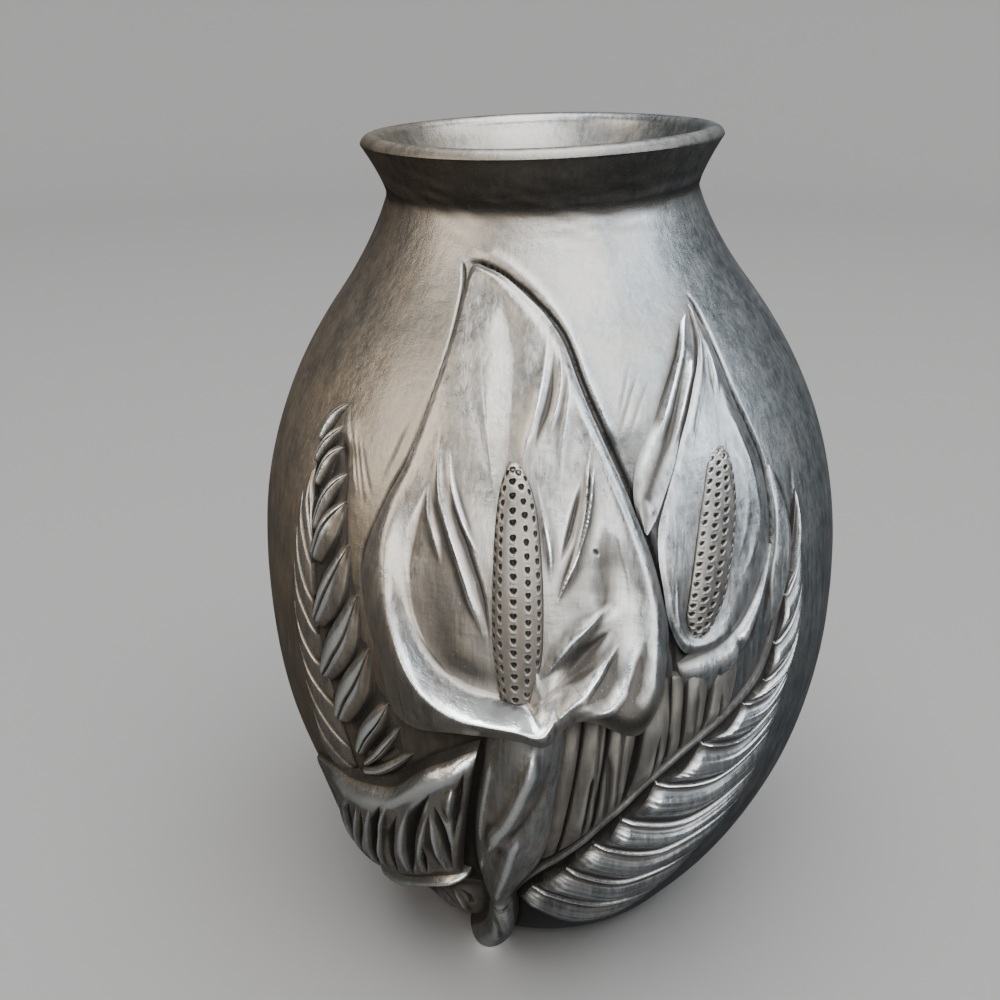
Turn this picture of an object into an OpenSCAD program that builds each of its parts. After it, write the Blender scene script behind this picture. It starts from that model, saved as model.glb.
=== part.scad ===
// Burnished blackware vase, hand built, with two calla lilies and leaves in high relief on its front.
// Heights run up +Z from the foot, the carved front faces -Y, and all lengths are in millimetres.

/* [Pot] */
// Radius of the foot where the wall leaves the floor slab
base_r = 40; // [34:0.5:46]
// Rounding of the foot's outer edge
foot_round = 3.5; // [1:0.5:6]
// Widest radius of the belly
belly_r = 72; // [62:0.5:82]
// Height of the belly's widest line
belly_z = 88; // [74:1:102]
// Power of the lower wall's curve, higher is fuller
lower_fullness = 2.1; // [1.6:0.05:2.8]
// Radius at the top of the shoulder's curve
shoulder_r = 41.3; // [38:0.1:48]
// Height of the shoulder's curve above the belly line
shoulder_h = 84; // [70:1:98]
// Power of the shoulder's curve, higher is fuller
shoulder_fullness = 2.45; // [1.8:0.05:3]
// Radius of the waist of the neck
neck_r = 35.5; // [31:0.5:40]
// Height of the hollow turn from shoulder to neck
neck_h = 12; // [9:0.5:18]
// Outer radius of the rim
rim_r = 41.5; // [38:0.5:48]
// Height of the flared collar below the round of its lip
collar_h = 12.5; // [9:0.5:18]
// Thickness of the pot's wall
wall_t = 5; // [4:0.25:7]
// Thickness of the rim
rim_t = 5; // [4:0.25:7]
// Thickness of the floor slab
floor_t = 7; // [5:0.5:10]
// Height of the joint between the lower wall and the belly wall
lower_joint_z = 46; // [38:1:56]
// Height of the joint between the shoulder wall and the neck wall, above the belly line
upper_joint_h = 52; // [40:1:60]
// Lean of the hand-set shoulder and collar, in degrees
lean = 1.8; // [0:0.1:4]

/* [Large lily] */
// Thickness of the large petal
petal_t = 2.2; // [1.4:0.1:3.5]
// Extra thickness of the petal's upper border
petal_border = 1.2; // [0.4:0.1:2]
// Height of the rolled lip above the petal
lip_h = 6.5; // [3:0.5:9]
// Height of the folded right lobe above the petal
lobe_h = 5; // [2.5:0.5:8]
// Height of the large spadix above the petal
spadix_h = 4.6; // [3:0.2:7]
// Height of the lily's tube on the wall
tube_h = 8; // [5:0.5:11]
// Height of the lily's stem on the wall
stem_h = 6.5; // [4:0.5:9]

/* [Small lily] */
// Thickness of the small petal
small_petal_t = 1.8; // [1.2:0.1:3]
// Extra thickness of the small petal's border
small_petal_border = 1.4; // [0.4:0.1:2.4]
// Height of the folded left wing above the small petal
wing_h = 2.2; // [1:0.1:4]
// Height of the small spadix above the small petal
small_spadix_h = 3.2; // [2:0.2:5]
// Height of the cup under the small lily
cup_h = 4.2; // [2.5:0.1:6]
// Height of each flat stem in the bundle
bundle_h = 2.2; // [1:0.1:4]

/* [Leaves] */
// Height of the right frond's midrib
rib_h = 2; // [1:0.1:3.5]
// Half width of the right frond's midrib
rib_half_w = 1.3; // [0.8:0.1:2]
// Thickness of the fronds at the crest of a leaflet
frond_t = 2.4; // [1.2:0.1:4]
// Leaflets on the right frond
right_leaflets = 12; // [8:1:16]
// Leaflets on each side of the left frond
left_leaflets = 9; // [6:1:12]
// Thickness of the narrow side leaf
side_leaf_t = 2; // [1:0.1:3.5]
// Height of the pleated leaf at the lower left
pleat_h = 5; // [3:0.2:7]
// Pleats across that leaf
pleats = 5; // [3:1:7]
// Height of the rolled hem under the pleated leaf
hem_h = 4; // [2:0.2:6]
// Thickness of the small leaf at the foot
foot_leaf_t = 2; // [1:0.1:3.5]

/* [Joins] */
// Thickness of a relief piece at its pressed-down edge
edge_t = 0.7; // [0.4:0.1:1.2]
// Layer of slip between a relief piece and what carries it
slip = 0.2; // [0.1:0.05:0.3]

/* [Hidden] */
shoulder_z = belly_z + shoulder_h;
neck_z = shoulder_z + neck_h;
rim_z = neck_z + collar_h;
upper_joint_z = belly_z + upper_joint_h;
// The belly wall runs this far past the belly line before the leaning seam trims it
seam_reach = belly_r * sin(lean) + 1;
curve_steps = 14;
neck_steps = 8;
lip_steps = 12;
collar_curl = 1.6;
// Height over which the relief eases into the lean of the shoulder
seam_blend = 12;
turn_fn = 128;
tiny_step = 0.05;
clay_dark = [0.17, 0.17, 0.18];
clay_mid = [0.26, 0.26, 0.27];
clay_light = [0.36, 0.36, 0.37];

// The pot's outline, as the outer radius at a height
function lower_radius(z) = belly_r - (belly_r - base_r) * pow(abs(1 - z / belly_z), lower_fullness);
function shoulder_radius(z) =
  belly_r - (belly_r - shoulder_r) * pow((z - belly_z) / shoulder_h, shoulder_fullness);
shoulder_slope = -(belly_r - shoulder_r) * shoulder_fullness / shoulder_h;
function neck_radius(z) =
  let(t = (z - shoulder_z) / neck_h)
  shoulder_r * (2 * t * t * t - 3 * t * t + 1)
  + shoulder_slope * neck_h * (t * t * t - 2 * t * t + t)
  + neck_r * (3 * t * t - 2 * t * t * t);
function collar_radius(z) = neck_r + (rim_r - neck_r) * pow((z - neck_z) / collar_h, collar_curl);
function radius(z) =
  z < belly_z ? lower_radius(z)
  : z < shoulder_z ? shoulder_radius(z)
  : z < neck_z ? neck_radius(z)
  : collar_radius(min(z, rim_z));
function slope(z) = (radius(z + tiny_step) - radius(z - tiny_step)) / (2 * tiny_step);
// The wall keeps its thickness square to the surface
function inner_radius(z) = radius(z) - wall_t * sqrt(1 + slope(z) * slope(z));
function spread(from, to, steps) = [for (i = [0:steps]) from + (to - from) * i / steps];
function flipped(list) = [for (i = [len(list) - 1:-1:0]) list[i]];

// The shoulder and collar lean together about the middle of the belly
module leaning() {
  translate([0, 0, belly_z])
    rotate([0, -lean, 0])
      translate([0, 0, -belly_z])
        children();
}

// Relief outlines are points [degrees round the pot from the front, percent up the wall],
// with the belly line at 50 percent and the neck at 100.
function height_at(p) = p < 50 ? belly_z * p / 50 : belly_z + (neck_z - belly_z) * (p - 50) / 50;
function lean_at(z) = lean * min(1, max(0, 0.5 + (z - belly_z) / (2 * seam_blend)));
function skin(spot, h) =
  let(
    z = height_at(spot[1]),
    s = slope(z),
    n = sqrt(1 + s * s),
    r = radius(z) + h / n,
    rise = z - h * s / n - belly_z,
    x = r * sin(spot[0]),
    tilt = lean_at(z)
  )
  [x * cos(tilt) - rise * sin(tilt), -r * cos(spot[0]), belly_z + x * sin(tilt) + rise * cos(tilt)];

// Smooth curve through a list of points, u from 0 to 1
function along(pts, u) =
  let(
    n = len(pts) - 1,
    i = min(floor(u * n), n - 1),
    f = u * n - i,
    a = pts[max(i - 1, 0)],
    b = pts[i],
    c = pts[i + 1],
    d = pts[min(i + 2, n)]
  )
  b + 0.5 * f * (c - a + f * (2 * a - 5 * b + 4 * c - d + f * (3 * (b - c) + d - a)));
// Round section across a piece, 0 at its edges and 1 in the middle
function dome(v) = sqrt(max(0, 1 - pow(2 * v - 1, 2)));
// Even change from one share of the full height to another, u from 0 to 1
function ease(u, from, to) = from + (to - from) * min(1, max(0, u));
flat = function(u) [0, 0];

// A piece of clay laid on the wall between two edge curves, rise(u, v) thick, with a flat back
module patch(left, right, rows, columns, rise, seat = slip, bow = flat) {
  w = columns + 1;
  back = (rows + 1) * w;
  spots = [
    for (i = [0:rows], j = [0:columns])
      let(u = i / rows, v = j / columns, a = along(left, u), b = along(right, u))
      a + (b - a) * v + bow(u) * 4 * v * (1 - v)
  ];
  front_points = [
    for (i = [0:rows], j = [0:columns])
      skin(spots[i * w + j], seat + rise(i / rows, j / columns))
  ];
  back_points = [for (spot = spots) skin(spot, seat)];
  front_faces = [
    for (i = [0:rows - 1], j = [0:columns - 1])
      let(k = i * w + j)
      each [[k, k + 1, k + w + 1], [k, k + w + 1, k + w]]
  ];
  back_faces = [for (f = front_faces) [f[0] + back, f[2] + back, f[1] + back]];
  edge = concat(
    [for (j = [columns:-1:1]) j],
    [for (i = [0:rows - 1]) i * w],
    [for (j = [0:columns - 1]) rows * w + j],
    [for (i = [rows:-1:1]) i * w + columns]
  );
  count = len(edge);
  side_faces = [
    for (k = [0:count - 1])
      let(a = edge[k], b = edge[(k + 1) % count])
      each [[a, b, b + back], [a, b + back, a + back]]
  ];
  polyhedron(concat(front_points, back_points), concat(front_faces, back_faces, side_faces));
}

// Floor slab with the rounded foot
module floor_slab() {
  round_steps = 6;
  edge = [
    for (t = spread(0, 90, round_steps))
      [lower_radius(foot_round) - foot_round * (1 - sin(t)), foot_round * (1 - cos(t))]
  ];
  side = [for (z = spread(foot_round, floor_t, round_steps)) [lower_radius(z), z]];
  color(clay_dark)
    rotate_extrude($fn = turn_fn)
      polygon(concat([[0, 0]], edge, [for (i = [1:round_steps]) side[i]], [[0, floor_t]]));
}

// One course of the wall, as a ring through the given heights
module course(heights) {
  outside = [for (z = heights) [radius(z), z]];
  inside = [for (z = heights) [inner_radius(z), z]];
  color(clay_mid) rotate_extrude($fn = turn_fn) polygon(concat(outside, flipped(inside)));
}

// Lower wall, from the floor slab up
module lower_wall() {
  course(spread(floor_t, lower_joint_z, curve_steps));
}

// Belly wall, trimmed on the leaning belly seam
module belly_wall() {
  top = belly_z + seam_reach;
  heights = spread(lower_joint_z, top, curve_steps);
  outside = [for (z = heights) [lower_radius(z), z]];
  inside = [for (z = heights) [min(inner_radius(min(z, belly_z)), belly_r - wall_t), z]];
  trim = 4 * belly_r;
  color(clay_mid)
    difference() {
      rotate_extrude($fn = turn_fn) polygon(concat(outside, flipped(inside)));
      leaning() translate([-trim / 2, -trim / 2, belly_z]) cube(trim);
    }
}

// Shoulder wall, from the belly seam up
module shoulder_wall() {
  leaning() course(spread(belly_z, upper_joint_z, curve_steps));
}

// Neck wall, up to the waist of the neck
module neck_wall() {
  turn = spread(shoulder_z, neck_z, neck_steps);
  leaning()
    course(concat(spread(upper_joint_z, shoulder_z, curve_steps), [for (i = [1:neck_steps]) turn[i]]));
}

// Flared collar with its round lip
module neck_collar() {
  heights = spread(neck_z, rim_z, neck_steps);
  outside = [for (z = heights) [collar_radius(z), z]];
  top = [
    for (t = spread(0, 180, lip_steps))
      [rim_r - rim_t / 2 + rim_t / 2 * cos(t), rim_z + rim_t / 2 * sin(t)]
  ];
  inside = [
    for (z = flipped(heights))
      [collar_radius(z) - wall_t - (rim_t - wall_t) * (z - neck_z) / collar_h, z]
  ];
  color(clay_light)
    leaning()
      rotate_extrude($fn = turn_fn)
        polygon(concat(
          outside,
          [for (i = [1:lip_steps - 1]) top[i]],
          inside
        ));
}

// Large lily
large_petal_left = [
  [-25, 96.5], [-24, 92], [-25, 86], [-28, 79], [-32, 73],
  [-34.5, 67], [-34, 61], [-31, 55], [-28, 49], [-23, 46]
];
large_petal_right = [
  [-20, 96.5], [-7, 93], [2, 89], [8.5, 83], [12, 76],
  [14.5, 70], [16.5, 63], [17, 57], [16.5, 51.5], [11, 48]
];
module large_petal() {
  plain_from = 0.45;
  border_power = 3;
  rise = function(u, v)
    petal_t + petal_border * pow(abs(2 * v - 1), border_power) * ease(u / plain_from, 1, 0);
  color(clay_light) patch(large_petal_left, large_petal_right, rows = 18, columns = 12, rise = rise);
}

on_petal = slip + petal_t + slip;
lip_outer = [
  [-32.5, 72], [-34, 67], [-33.5, 61.5], [-31, 55.5], [-27.5, 50.5],
  [-23, 47.5], [-17, 47.7], [-11, 48.2], [-6, 48.5], [-2.5, 48]
];
lip_inner = [
  [-31, 72.5], [-29, 69.5], [-27, 65.5], [-25.5, 61.5], [-23, 58.5],
  [-20, 57], [-16, 56], [-12, 55], [-7.5, 54], [-2.5, 53]
];
module large_lip() {
  slim_end = 0.3;
  full_from = 0.62;
  rise = function(u, v)
    edge_t + lip_h * dome(v) * ease(sin(90 * min(1, u / full_from)), slim_end, 1);
  color(clay_light) patch(lip_outer, lip_inner, rows = 22, columns = 6, rise = rise, seat = on_petal);
}

lobe_left = [[7, 79], [4.5, 74], [2, 68], [0.5, 62], [0, 57], [0, 52.5]];
lobe_right = [[10.3, 78], [13, 71.5], [15, 65], [15.8, 59], [15.3, 53], [10.5, 49.5]];
module large_lobe() {
  folds = 2.5;
  fold_share = 0.25;
  slim_end = 0.3;
  fold = function(v) 1 - fold_share + fold_share * cos(360 * folds * v);
  rise = function(u, v) edge_t + lobe_h * dome(v) * ease(u, slim_end, 1) * fold(v);
  color(clay_light) patch(lobe_left, lobe_right, rows = 14, columns = 12, rise = rise, seat = on_petal);
}

large_spadix_left = [[-8.5, 78.5], [-10.2, 75], [-10.8, 69], [-10.8, 62], [-9.8, 56]];
large_spadix_right = [[-7, 78.5], [-3.6, 75], [-2.8, 69], [-2.6, 62], [-3.8, 56]];
// Share of a spadix's height at its blunt tip, and of its length where it is full
spadix_tip = 0.4;
spadix_full_from = 0.15;
module large_spadix() {
  rise = function(u, v) edge_t + spadix_h * dome(v) * ease(u / spadix_full_from, spadix_tip, 1);
  color(clay_mid)
    patch(large_spadix_left, large_spadix_right, rows = 16, columns = 8, rise = rise, seat = on_petal);
}

tube_left = [[-12.5, 46], [-14, 41], [-15, 35.5], [-15.3, 30], [-14.5, 24], [-13.2, 20]];
tube_right = [[2.5, 46.5], [2, 42.5], [0.6, 35.5], [-1.7, 30], [-4.9, 24.5], [-7.2, 20.5]];
module large_tube() {
  fullness = 0.8;
  low_end = 0.75;
  rise = function(u, v) edge_t + tube_h * pow(dome(v), fullness) * ease(u, 1, low_end);
  color(clay_mid) patch(tube_left, tube_right, rows = 14, columns = 8, rise = rise);
}

stem_left = [[-13.2, 19.3], [-14.5, 14], [-16.5, 7.5], [-16.5, 3.6]];
stem_right = [[-7.3, 19.8], [-8, 14.5], [-9.5, 8], [-11.5, 3.6]];
module large_stem() {
  rise = function(u, v) edge_t + stem_h * dome(v);
  color(clay_dark) patch(stem_left, stem_right, rows = 10, columns = 6, rise = rise);
}

// Small lily
small_petal_left = [
  [37, 91], [28, 87.5], [20.5, 84], [15.2, 80], [13.7, 76], [16.5, 72], [17.8, 67], [18.2, 62], [20, 58.2]
];
small_petal_right = [
  [38.5, 91], [39, 88], [39.5, 85], [40, 81.5], [40.7, 77], [41, 72.5], [40, 67.5], [36, 62.8], [27, 58.5]
];
module small_petal() {
  border_power = 6;
  rise = function(u, v) small_petal_t + small_petal_border * pow(v, border_power);
  color(clay_light) patch(small_petal_left, small_petal_right, rows = 16, columns = 10, rise = rise);
}

on_small_petal = slip + small_petal_t + slip;
wing_left = [[36, 90], [27.5, 87], [20.7, 83.3], [16, 79.5], [14.8, 76.5]];
wing_right = [[36.8, 89.5], [30, 86], [24.5, 81.5], [20, 76.5], [18, 73.5]];
module small_wing() {
  slim_end = 0.3;
  rise = function(u, v) edge_t + wing_h * dome(v) * ease(u, slim_end, 1);
  color(clay_light)
    patch(wing_left, wing_right, rows = 12, columns = 5, rise = rise, seat = on_small_petal);
}

small_spadix_left = [[28.7, 78], [24.2, 74], [21.5, 69], [20, 64], [20.5, 60.5]];
small_spadix_right = [[31.3, 78], [30, 74], [28, 69], [26, 64], [23.3, 60.5]];
module small_spadix() {
  rise = function(u, v) edge_t + small_spadix_h * dome(v) * ease(u / spadix_full_from, spadix_tip, 1);
  color(clay_mid)
    patch(small_spadix_left, small_spadix_right, rows = 14, columns = 6, rise = rise, seat = on_small_petal);
}

cup_low = [[19, 54.3], [24.5, 54], [31, 54], [35.5, 57], [38, 61]];
cup_high = [[19, 57], [24, 57], [29, 57.7], [34, 60], [37.3, 63.2]];
module small_cup() {
  end_share = 0.5;
  rise = function(u, v) edge_t + cup_h * dome(v) * ease(sin(180 * u), end_share, 1);
  color(clay_mid) patch(cup_low, cup_high, rows = 12, columns = 6, rise = rise);
}

// Flat stems fanned between the large tube and the right frond's midrib, numbered from the left
bundle_top = [46, 46, 46, 49, 52.5, 52.5, 52.5];
bundle_top_from = [4, 8, 12, 17.8, 21.2, 24.6, 28];
bundle_top_w = 2.9;
bundle_low_from = 2.2;
bundle_low_step = 3.6;
bundle_low_w = 2.7;
module bundle_stem(number) {
  k = number - 1;
  top_left = bundle_top_from[k];
  top_right = top_left + bundle_top_w;
  low_left = bundle_low_from + bundle_low_step * k;
  low_right = low_left + bundle_low_w;
  // The midrib climbs at about 45 degrees, so its half width reaches further straight up
  off_rib = (rib_half_w * sqrt(2) + 4 * slip) * percent_per_mm;
  left = [[top_left, bundle_top[k]], [low_left, lookup(low_left, rib_path) + off_rib]];
  right = [[top_right, bundle_top[k]], [low_right, lookup(low_right, rib_path) + off_rib]];
  rise = function(u, v) edge_t + bundle_h * dome(v);
  color(clay_dark) patch(left, right, rows = 6, columns = 4, rise = rise);
}

// Right frond
rib_path = [
  [-4.5, 25.5], [1.3, 31.7], [7, 36.3], [11.6, 39.8], [16.4, 42.7], [21.4, 45.1], [26.7, 47.5],
  [31.4, 50], [35.7, 52.4], [39.3, 55.8], [41.4, 60], [43.3, 65], [45.6, 69.5], [48, 73.5]
];
// Percent up the wall for a millimetre, and degrees round it, near the middle of the frond
percent_per_mm = 50 / belly_z;
degrees_per_mm = 180 / (PI * belly_r);
function beside(path, side) = [
  for (i = [0:len(path) - 1])
    let(
      step = path[min(i + 1, len(path) - 1)] - path[max(i - 1, 0)],
      x = step[0] / degrees_per_mm,
      y = step[1] / percent_per_mm,
      n = norm([x, y])
    )
    path[i] + side / n * [y * degrees_per_mm, -x * percent_per_mm]
];
module right_frond_rib() {
  top_share = 0.4;
  low_side = beside(rib_path, rib_half_w);
  high_side = beside(rib_path, -rib_half_w);
  rise = function(u, v) edge_t + rib_h * dome(v) * ease(u, 1, top_share);
  color(clay_light) patch(low_side, high_side, rows = 26, columns = 4, rise = rise);
}

right_tips = [
  [10, 7], [23, 13.5], [30, 22], [34, 29], [37, 35], [38.5, 40], [40.7, 44.2], [43, 49],
  [44.5, 52.5], [46, 56], [47, 60.5], [47.8, 65], [49.3, 70], [50.5, 74.5]
];
// Rows of points along each leaflet of a frond
leaflet_rows = 4;
// Height of a blade along its length, as a row of leaflets with valleys between them
function leaflets(u, count, valley) = ease(abs(sin(180 * count * u)), valley, 1);
module right_frond_blade() {
  root = beside(rib_path, rib_half_w + 3 * slip);
  sag = 7;
  valley = 0.25;
  tip_share = 0.35;
  tip_w = 0.2;
  bow = function(u) [0, -sag * (1 - u) * (1 - u * u)];
  thinning = function(v) ease(v, tip_share, 1) * ease(v / tip_w, 0, 1);
  rise = function(u, v) edge_t + frond_t * leaflets(u, right_leaflets, valley) * thinning(v);
  rows = leaflet_rows * right_leaflets;
  color(clay_mid) patch(right_tips, root, rows = rows, columns = 6, rise = rise, bow = bow);
}

side_leaf_left = [[43.5, 75], [42.4, 69.5], [40.8, 65.5], [39.2, 62], [38.6, 59.5]];
side_leaf_right = [[46.3, 74.5], [43.9, 69.3], [41.9, 64.7], [40.3, 61], [39.3, 58.7]];
module side_leaf() {
  low_end = 0.5;
  rise = function(u, v) edge_t + side_leaf_t * dome(v) * ease(u, 1, low_end);
  color(clay_light) patch(side_leaf_left, side_leaf_right, rows = 10, columns = 5, rise = rise);
}

// Left frond, in two blades that meet in a groove
left_root = [
  [-36.5, 38], [-40.3, 40], [-44, 44.5], [-45.7, 50], [-46.2, 56],
  [-46.5, 62], [-47, 68], [-48.2, 73.5], [-48, 79]
];
left_inner_tips = [
  [-25, 43], [-28.5, 46.5], [-31.5, 51.5], [-34.8, 57.5], [-36, 63],
  [-36.3, 67.5], [-38, 73], [-41.5, 78.5], [-46, 82.5]
];
left_outer_tips = [
  [-49, 36.5], [-51.5, 41], [-53.5, 47], [-54, 54], [-54, 60], [-54, 66], [-54, 72], [-53, 77.5], [-49.5, 82]
];
module left_frond_inner_blade() {
  valley = 0.25;
  rise = function(u, v) edge_t + frond_t * leaflets(u, left_leaflets, valley) * dome(v);
  rows = leaflet_rows * left_leaflets;
  color(clay_mid) patch(left_inner_tips, left_root, rows = rows, columns = 6, rise = rise);
}
groove_w = 1.2;
module left_frond_outer_blade() {
  root = beside(left_root, -groove_w);
  valley = 0.5;
  share = 0.8;
  rise = function(u, v) edge_t + frond_t * share * leaflets(u, left_leaflets, valley) * dome(v);
  rows = leaflet_rows * left_leaflets;
  color(clay_dark) patch(root, left_outer_tips, rows = rows, columns = 4, rise = rise);
}

// Pleated leaf at the lower left, with its rolled hem
pleated_low = [[-56, 22], [-50, 18.5], [-43, 17], [-36, 18], [-29, 20.5], [-23, 23], [-17.5, 25]];
pleated_high = [[-58, 30], [-50, 34], [-42, 35], [-34, 36.7], [-28, 39], [-22, 42.5], [-16.5, 44.5]];
// Powers that make the leaf's section and its two ends full and round
pleat_fullness = 0.6;
end_fullness = 0.3;
module pleated_leaf() {
  pleat_share = 0.3;
  pleat_rows = 6;
  pleat = function(u) 1 - pleat_share + pleat_share * sin(360 * pleats * u);
  rise = function(u, v)
    edge_t + pleat_h * pow(dome(v), pleat_fullness) * pleat(u) * pow(dome(u), end_fullness);
  color(clay_dark) patch(pleated_low, pleated_high, rows = pleat_rows * pleats, columns = 6, rise = rise);
}

hem_w = 4.5;
hem_gap = 0.7;
module pleated_leaf_hem() {
  high = [for (spot = pleated_low) spot - [0, (3 * slip + hem_gap) * percent_per_mm]];
  low = [for (spot = high) spot - [0, hem_w * percent_per_mm]];
  rise = function(u, v) edge_t + hem_h * dome(v) * pow(dome(u), end_fullness);
  color(clay_light) patch(low, high, rows = 18, columns = 4, rise = rise);
}

foot_leaf_low = [[-31, 9], [-26, 6.5], [-21, 6], [-18.3, 8]];
foot_leaf_high = [[-32, 13.5], [-27, 15.8], [-22, 18], [-17.2, 19.5]];
module foot_leaf() {
  rise = function(u, v) edge_t + foot_leaf_t * dome(v);
  color(clay_dark) patch(foot_leaf_low, foot_leaf_high, rows = 8, columns = 5, rise = rise);
}

floor_slab();
lower_wall();
belly_wall();
shoulder_wall();
neck_wall();
neck_collar();
large_petal();
large_lip();
large_lobe();
large_spadix();
large_tube();
large_stem();
small_petal();
small_wing();
small_spadix();
small_cup();
bundle_stem(1);  // bundle_stem_1
bundle_stem(2);  // bundle_stem_2
bundle_stem(3);  // bundle_stem_3
bundle_stem(4);  // bundle_stem_4
bundle_stem(5);  // bundle_stem_5
bundle_stem(6);  // bundle_stem_6
bundle_stem(7);  // bundle_stem_7
right_frond_rib();
right_frond_blade();
side_leaf();
left_frond_inner_blade();
left_frond_outer_blade();
pleated_leaf();
pleated_leaf_hem();
foot_leaf();
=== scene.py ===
from math import cos, pi, radians, sin

import bpy
import numpy as np
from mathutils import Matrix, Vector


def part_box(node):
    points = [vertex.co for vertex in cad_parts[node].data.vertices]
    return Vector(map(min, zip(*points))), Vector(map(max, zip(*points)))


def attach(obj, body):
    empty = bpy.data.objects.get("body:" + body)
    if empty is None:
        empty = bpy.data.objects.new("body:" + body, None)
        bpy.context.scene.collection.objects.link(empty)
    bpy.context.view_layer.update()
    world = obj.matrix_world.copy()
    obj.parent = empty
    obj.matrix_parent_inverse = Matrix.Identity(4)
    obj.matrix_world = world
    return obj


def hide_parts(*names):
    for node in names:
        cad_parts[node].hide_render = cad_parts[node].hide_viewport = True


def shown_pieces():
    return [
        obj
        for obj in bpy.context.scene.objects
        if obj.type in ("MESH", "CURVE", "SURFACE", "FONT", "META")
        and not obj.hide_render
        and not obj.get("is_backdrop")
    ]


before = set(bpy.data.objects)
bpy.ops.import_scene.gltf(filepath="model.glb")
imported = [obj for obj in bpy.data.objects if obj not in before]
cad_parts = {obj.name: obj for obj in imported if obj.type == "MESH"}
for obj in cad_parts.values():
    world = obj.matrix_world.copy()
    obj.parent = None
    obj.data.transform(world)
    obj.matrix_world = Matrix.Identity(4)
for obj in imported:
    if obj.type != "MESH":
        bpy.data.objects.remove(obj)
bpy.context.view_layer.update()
scene = bpy.context.scene
print("frame loaded:", len(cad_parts), "clay nodes")

# the photograph's view
view = {
    "place": (-0.0126, -0.253, 0.2214),  # metres
    "tilt": 65.7,  # degrees up from straight down
    "lens": 38.7,  # millimetres on a 36 mm sensor
}


def setCamera(values):
    data = bpy.data.cameras.new("view")
    data.lens = values["lens"]
    data.sensor_width = 36
    camera = bpy.data.objects.new("view", data)
    camera.location = values["place"]
    camera.rotation_euler = (radians(values["tilt"]), 0, 0)
    scene.collection.objects.link(camera)
    scene.camera = camera


setCamera(view)
print("camera set")

# the pot's body, in millimetres and degrees
pot = {
    "baseR": 40,
    "bellyR": 500 * (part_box("belly_wall")[1].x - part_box("belly_wall")[0].x),
    "bellyZ": 88,
    "lowerFullness": 2.1,
    "shoulderR": 41.3,
    "shoulderZ": 172,
    "shoulderFullness": 2.45,
    "neckFrom": 164,
    "neckR": 35.5,
    "neckZ": 184,
    "creaseZ": 185.8,
    "neckCrease": -0.34,  # slope of the wall where it meets the collar
    "rimR": 40.5,
    "rimZ": 196.5,
    "rimCurl": 1.35,
    "lipRound": 2.5,
    "wall": 5,
    "floor": 1000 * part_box("floor_slab")[1].z,
    "footRound": 3.5,
    "lean": 1.8,  # the upper half leans to the left
    "leanBlend": 24,
    "unevenness": 0.4,
}


def curve(points, count, closed=False):
    # a smooth line through given points
    points = np.array(points, float)
    last = len(points) - 1
    at = np.linspace(0, last + closed, count, endpoint=not closed)
    i = np.minimum(at.astype(int), last - 1 + closed)
    f = (at - i)[:, None]
    pick = lambda k: points[k % (last + 1) if closed else np.clip(k, 0, last)]
    a, b, c, d = pick(i - 1), pick(i), pick(i + 1), pick(i + 2)
    return b + 0.5 * f * (c - a + f * (2 * a - 5 * b + 4 * c - d + f * (3 * (b - c) + d - a)))


def throughKnots(knots, values, at):
    # a smooth line through values that never swings past them
    knots, values, at = np.asarray(knots, float), np.asarray(values, float), np.asarray(at, float)
    gap = np.diff(knots)
    slope = np.diff(values, axis=0) / gap.reshape((-1,) + (1,) * (values.ndim - 1))
    before, after = slope[:-1], slope[1:]
    same = before * after > 0
    inner = np.where(same, 2 * before * after / np.where(same, before + after, 1), 0)
    grade = np.concatenate([slope[:1], inner, slope[-1:]])
    i = np.clip(np.searchsorted(knots, at, side="right") - 1, 0, len(knots) - 2)
    wide = at.shape + (1,) * (values.ndim - 1)
    g = gap[i].reshape(wide)
    f = ((at - knots[i]) / gap[i]).reshape(wide)
    p, q, m, n = values[i], values[i + 1], grade[i] * g, grade[i + 1] * g
    return p + f * (m + f * (3 * (q - p) - 2 * m - n + f * (2 * (p - q) + m + n)))


def ease(x, start=0.0, end=1.0):
    t = np.clip((x - start) / (end - start), 0, 1)
    return t * t * (3 - 2 * t)


def potRadius(z):
    p = pot
    low = p["bellyR"] - (p["bellyR"] - p["baseR"]) * np.abs(1 - z / p["bellyZ"]) ** p["lowerFullness"]
    rise = p["shoulderZ"] - p["bellyZ"]
    drop = p["bellyR"] - p["shoulderR"]
    full = p["shoulderFullness"]
    shoulder = p["bellyR"] - drop * np.clip((z - p["bellyZ"]) / rise, 0, 1) ** full
    # the neck leaves the shoulder at the shoulder's slope and ends in a crease
    share = (p["neckFrom"] - p["bellyZ"]) / rise
    start, run = p["bellyR"] - drop * share**full, p["creaseZ"] - p["neckFrom"]
    t = np.clip((z - p["neckFrom"]) / run, 0, 1)
    blend = t * t * (3 - 2 * t)
    neck = start + (p["neckR"] - start) * blend
    neck = neck - drop * full / rise * share ** (full - 1) * run * t * (1 - t) ** 2
    neck = neck + p["neckCrease"] * run * (t**3 - t**2)
    flare = np.clip((z - p["creaseZ"]) / (p["rimZ"] - p["creaseZ"]), 0, 1)
    collar = p["neckR"] + (p["rimR"] - p["neckR"]) * flare ** p["rimCurl"]
    return np.select([z < p["bellyZ"], z < p["neckFrom"], z < p["creaseZ"]], [low, shoulder, neck], collar)


def turn(deg, r, z, base=None):
    # round the pot, with the upper half leaning
    base = z if base is None else base
    a = np.radians(deg)
    lean = radians(pot["lean"]) * np.clip(0.5 + (base - pot["bellyZ"]) / pot["leanBlend"], 0, 1)
    x, y, up = r * np.sin(a), -r * np.cos(a), z - pot["bellyZ"]
    return np.stack([
        x * np.cos(lean) - up * np.sin(lean),
        y,
        pot["bellyZ"] + x * np.sin(lean) + up * np.cos(lean),
    ], -1)


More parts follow.
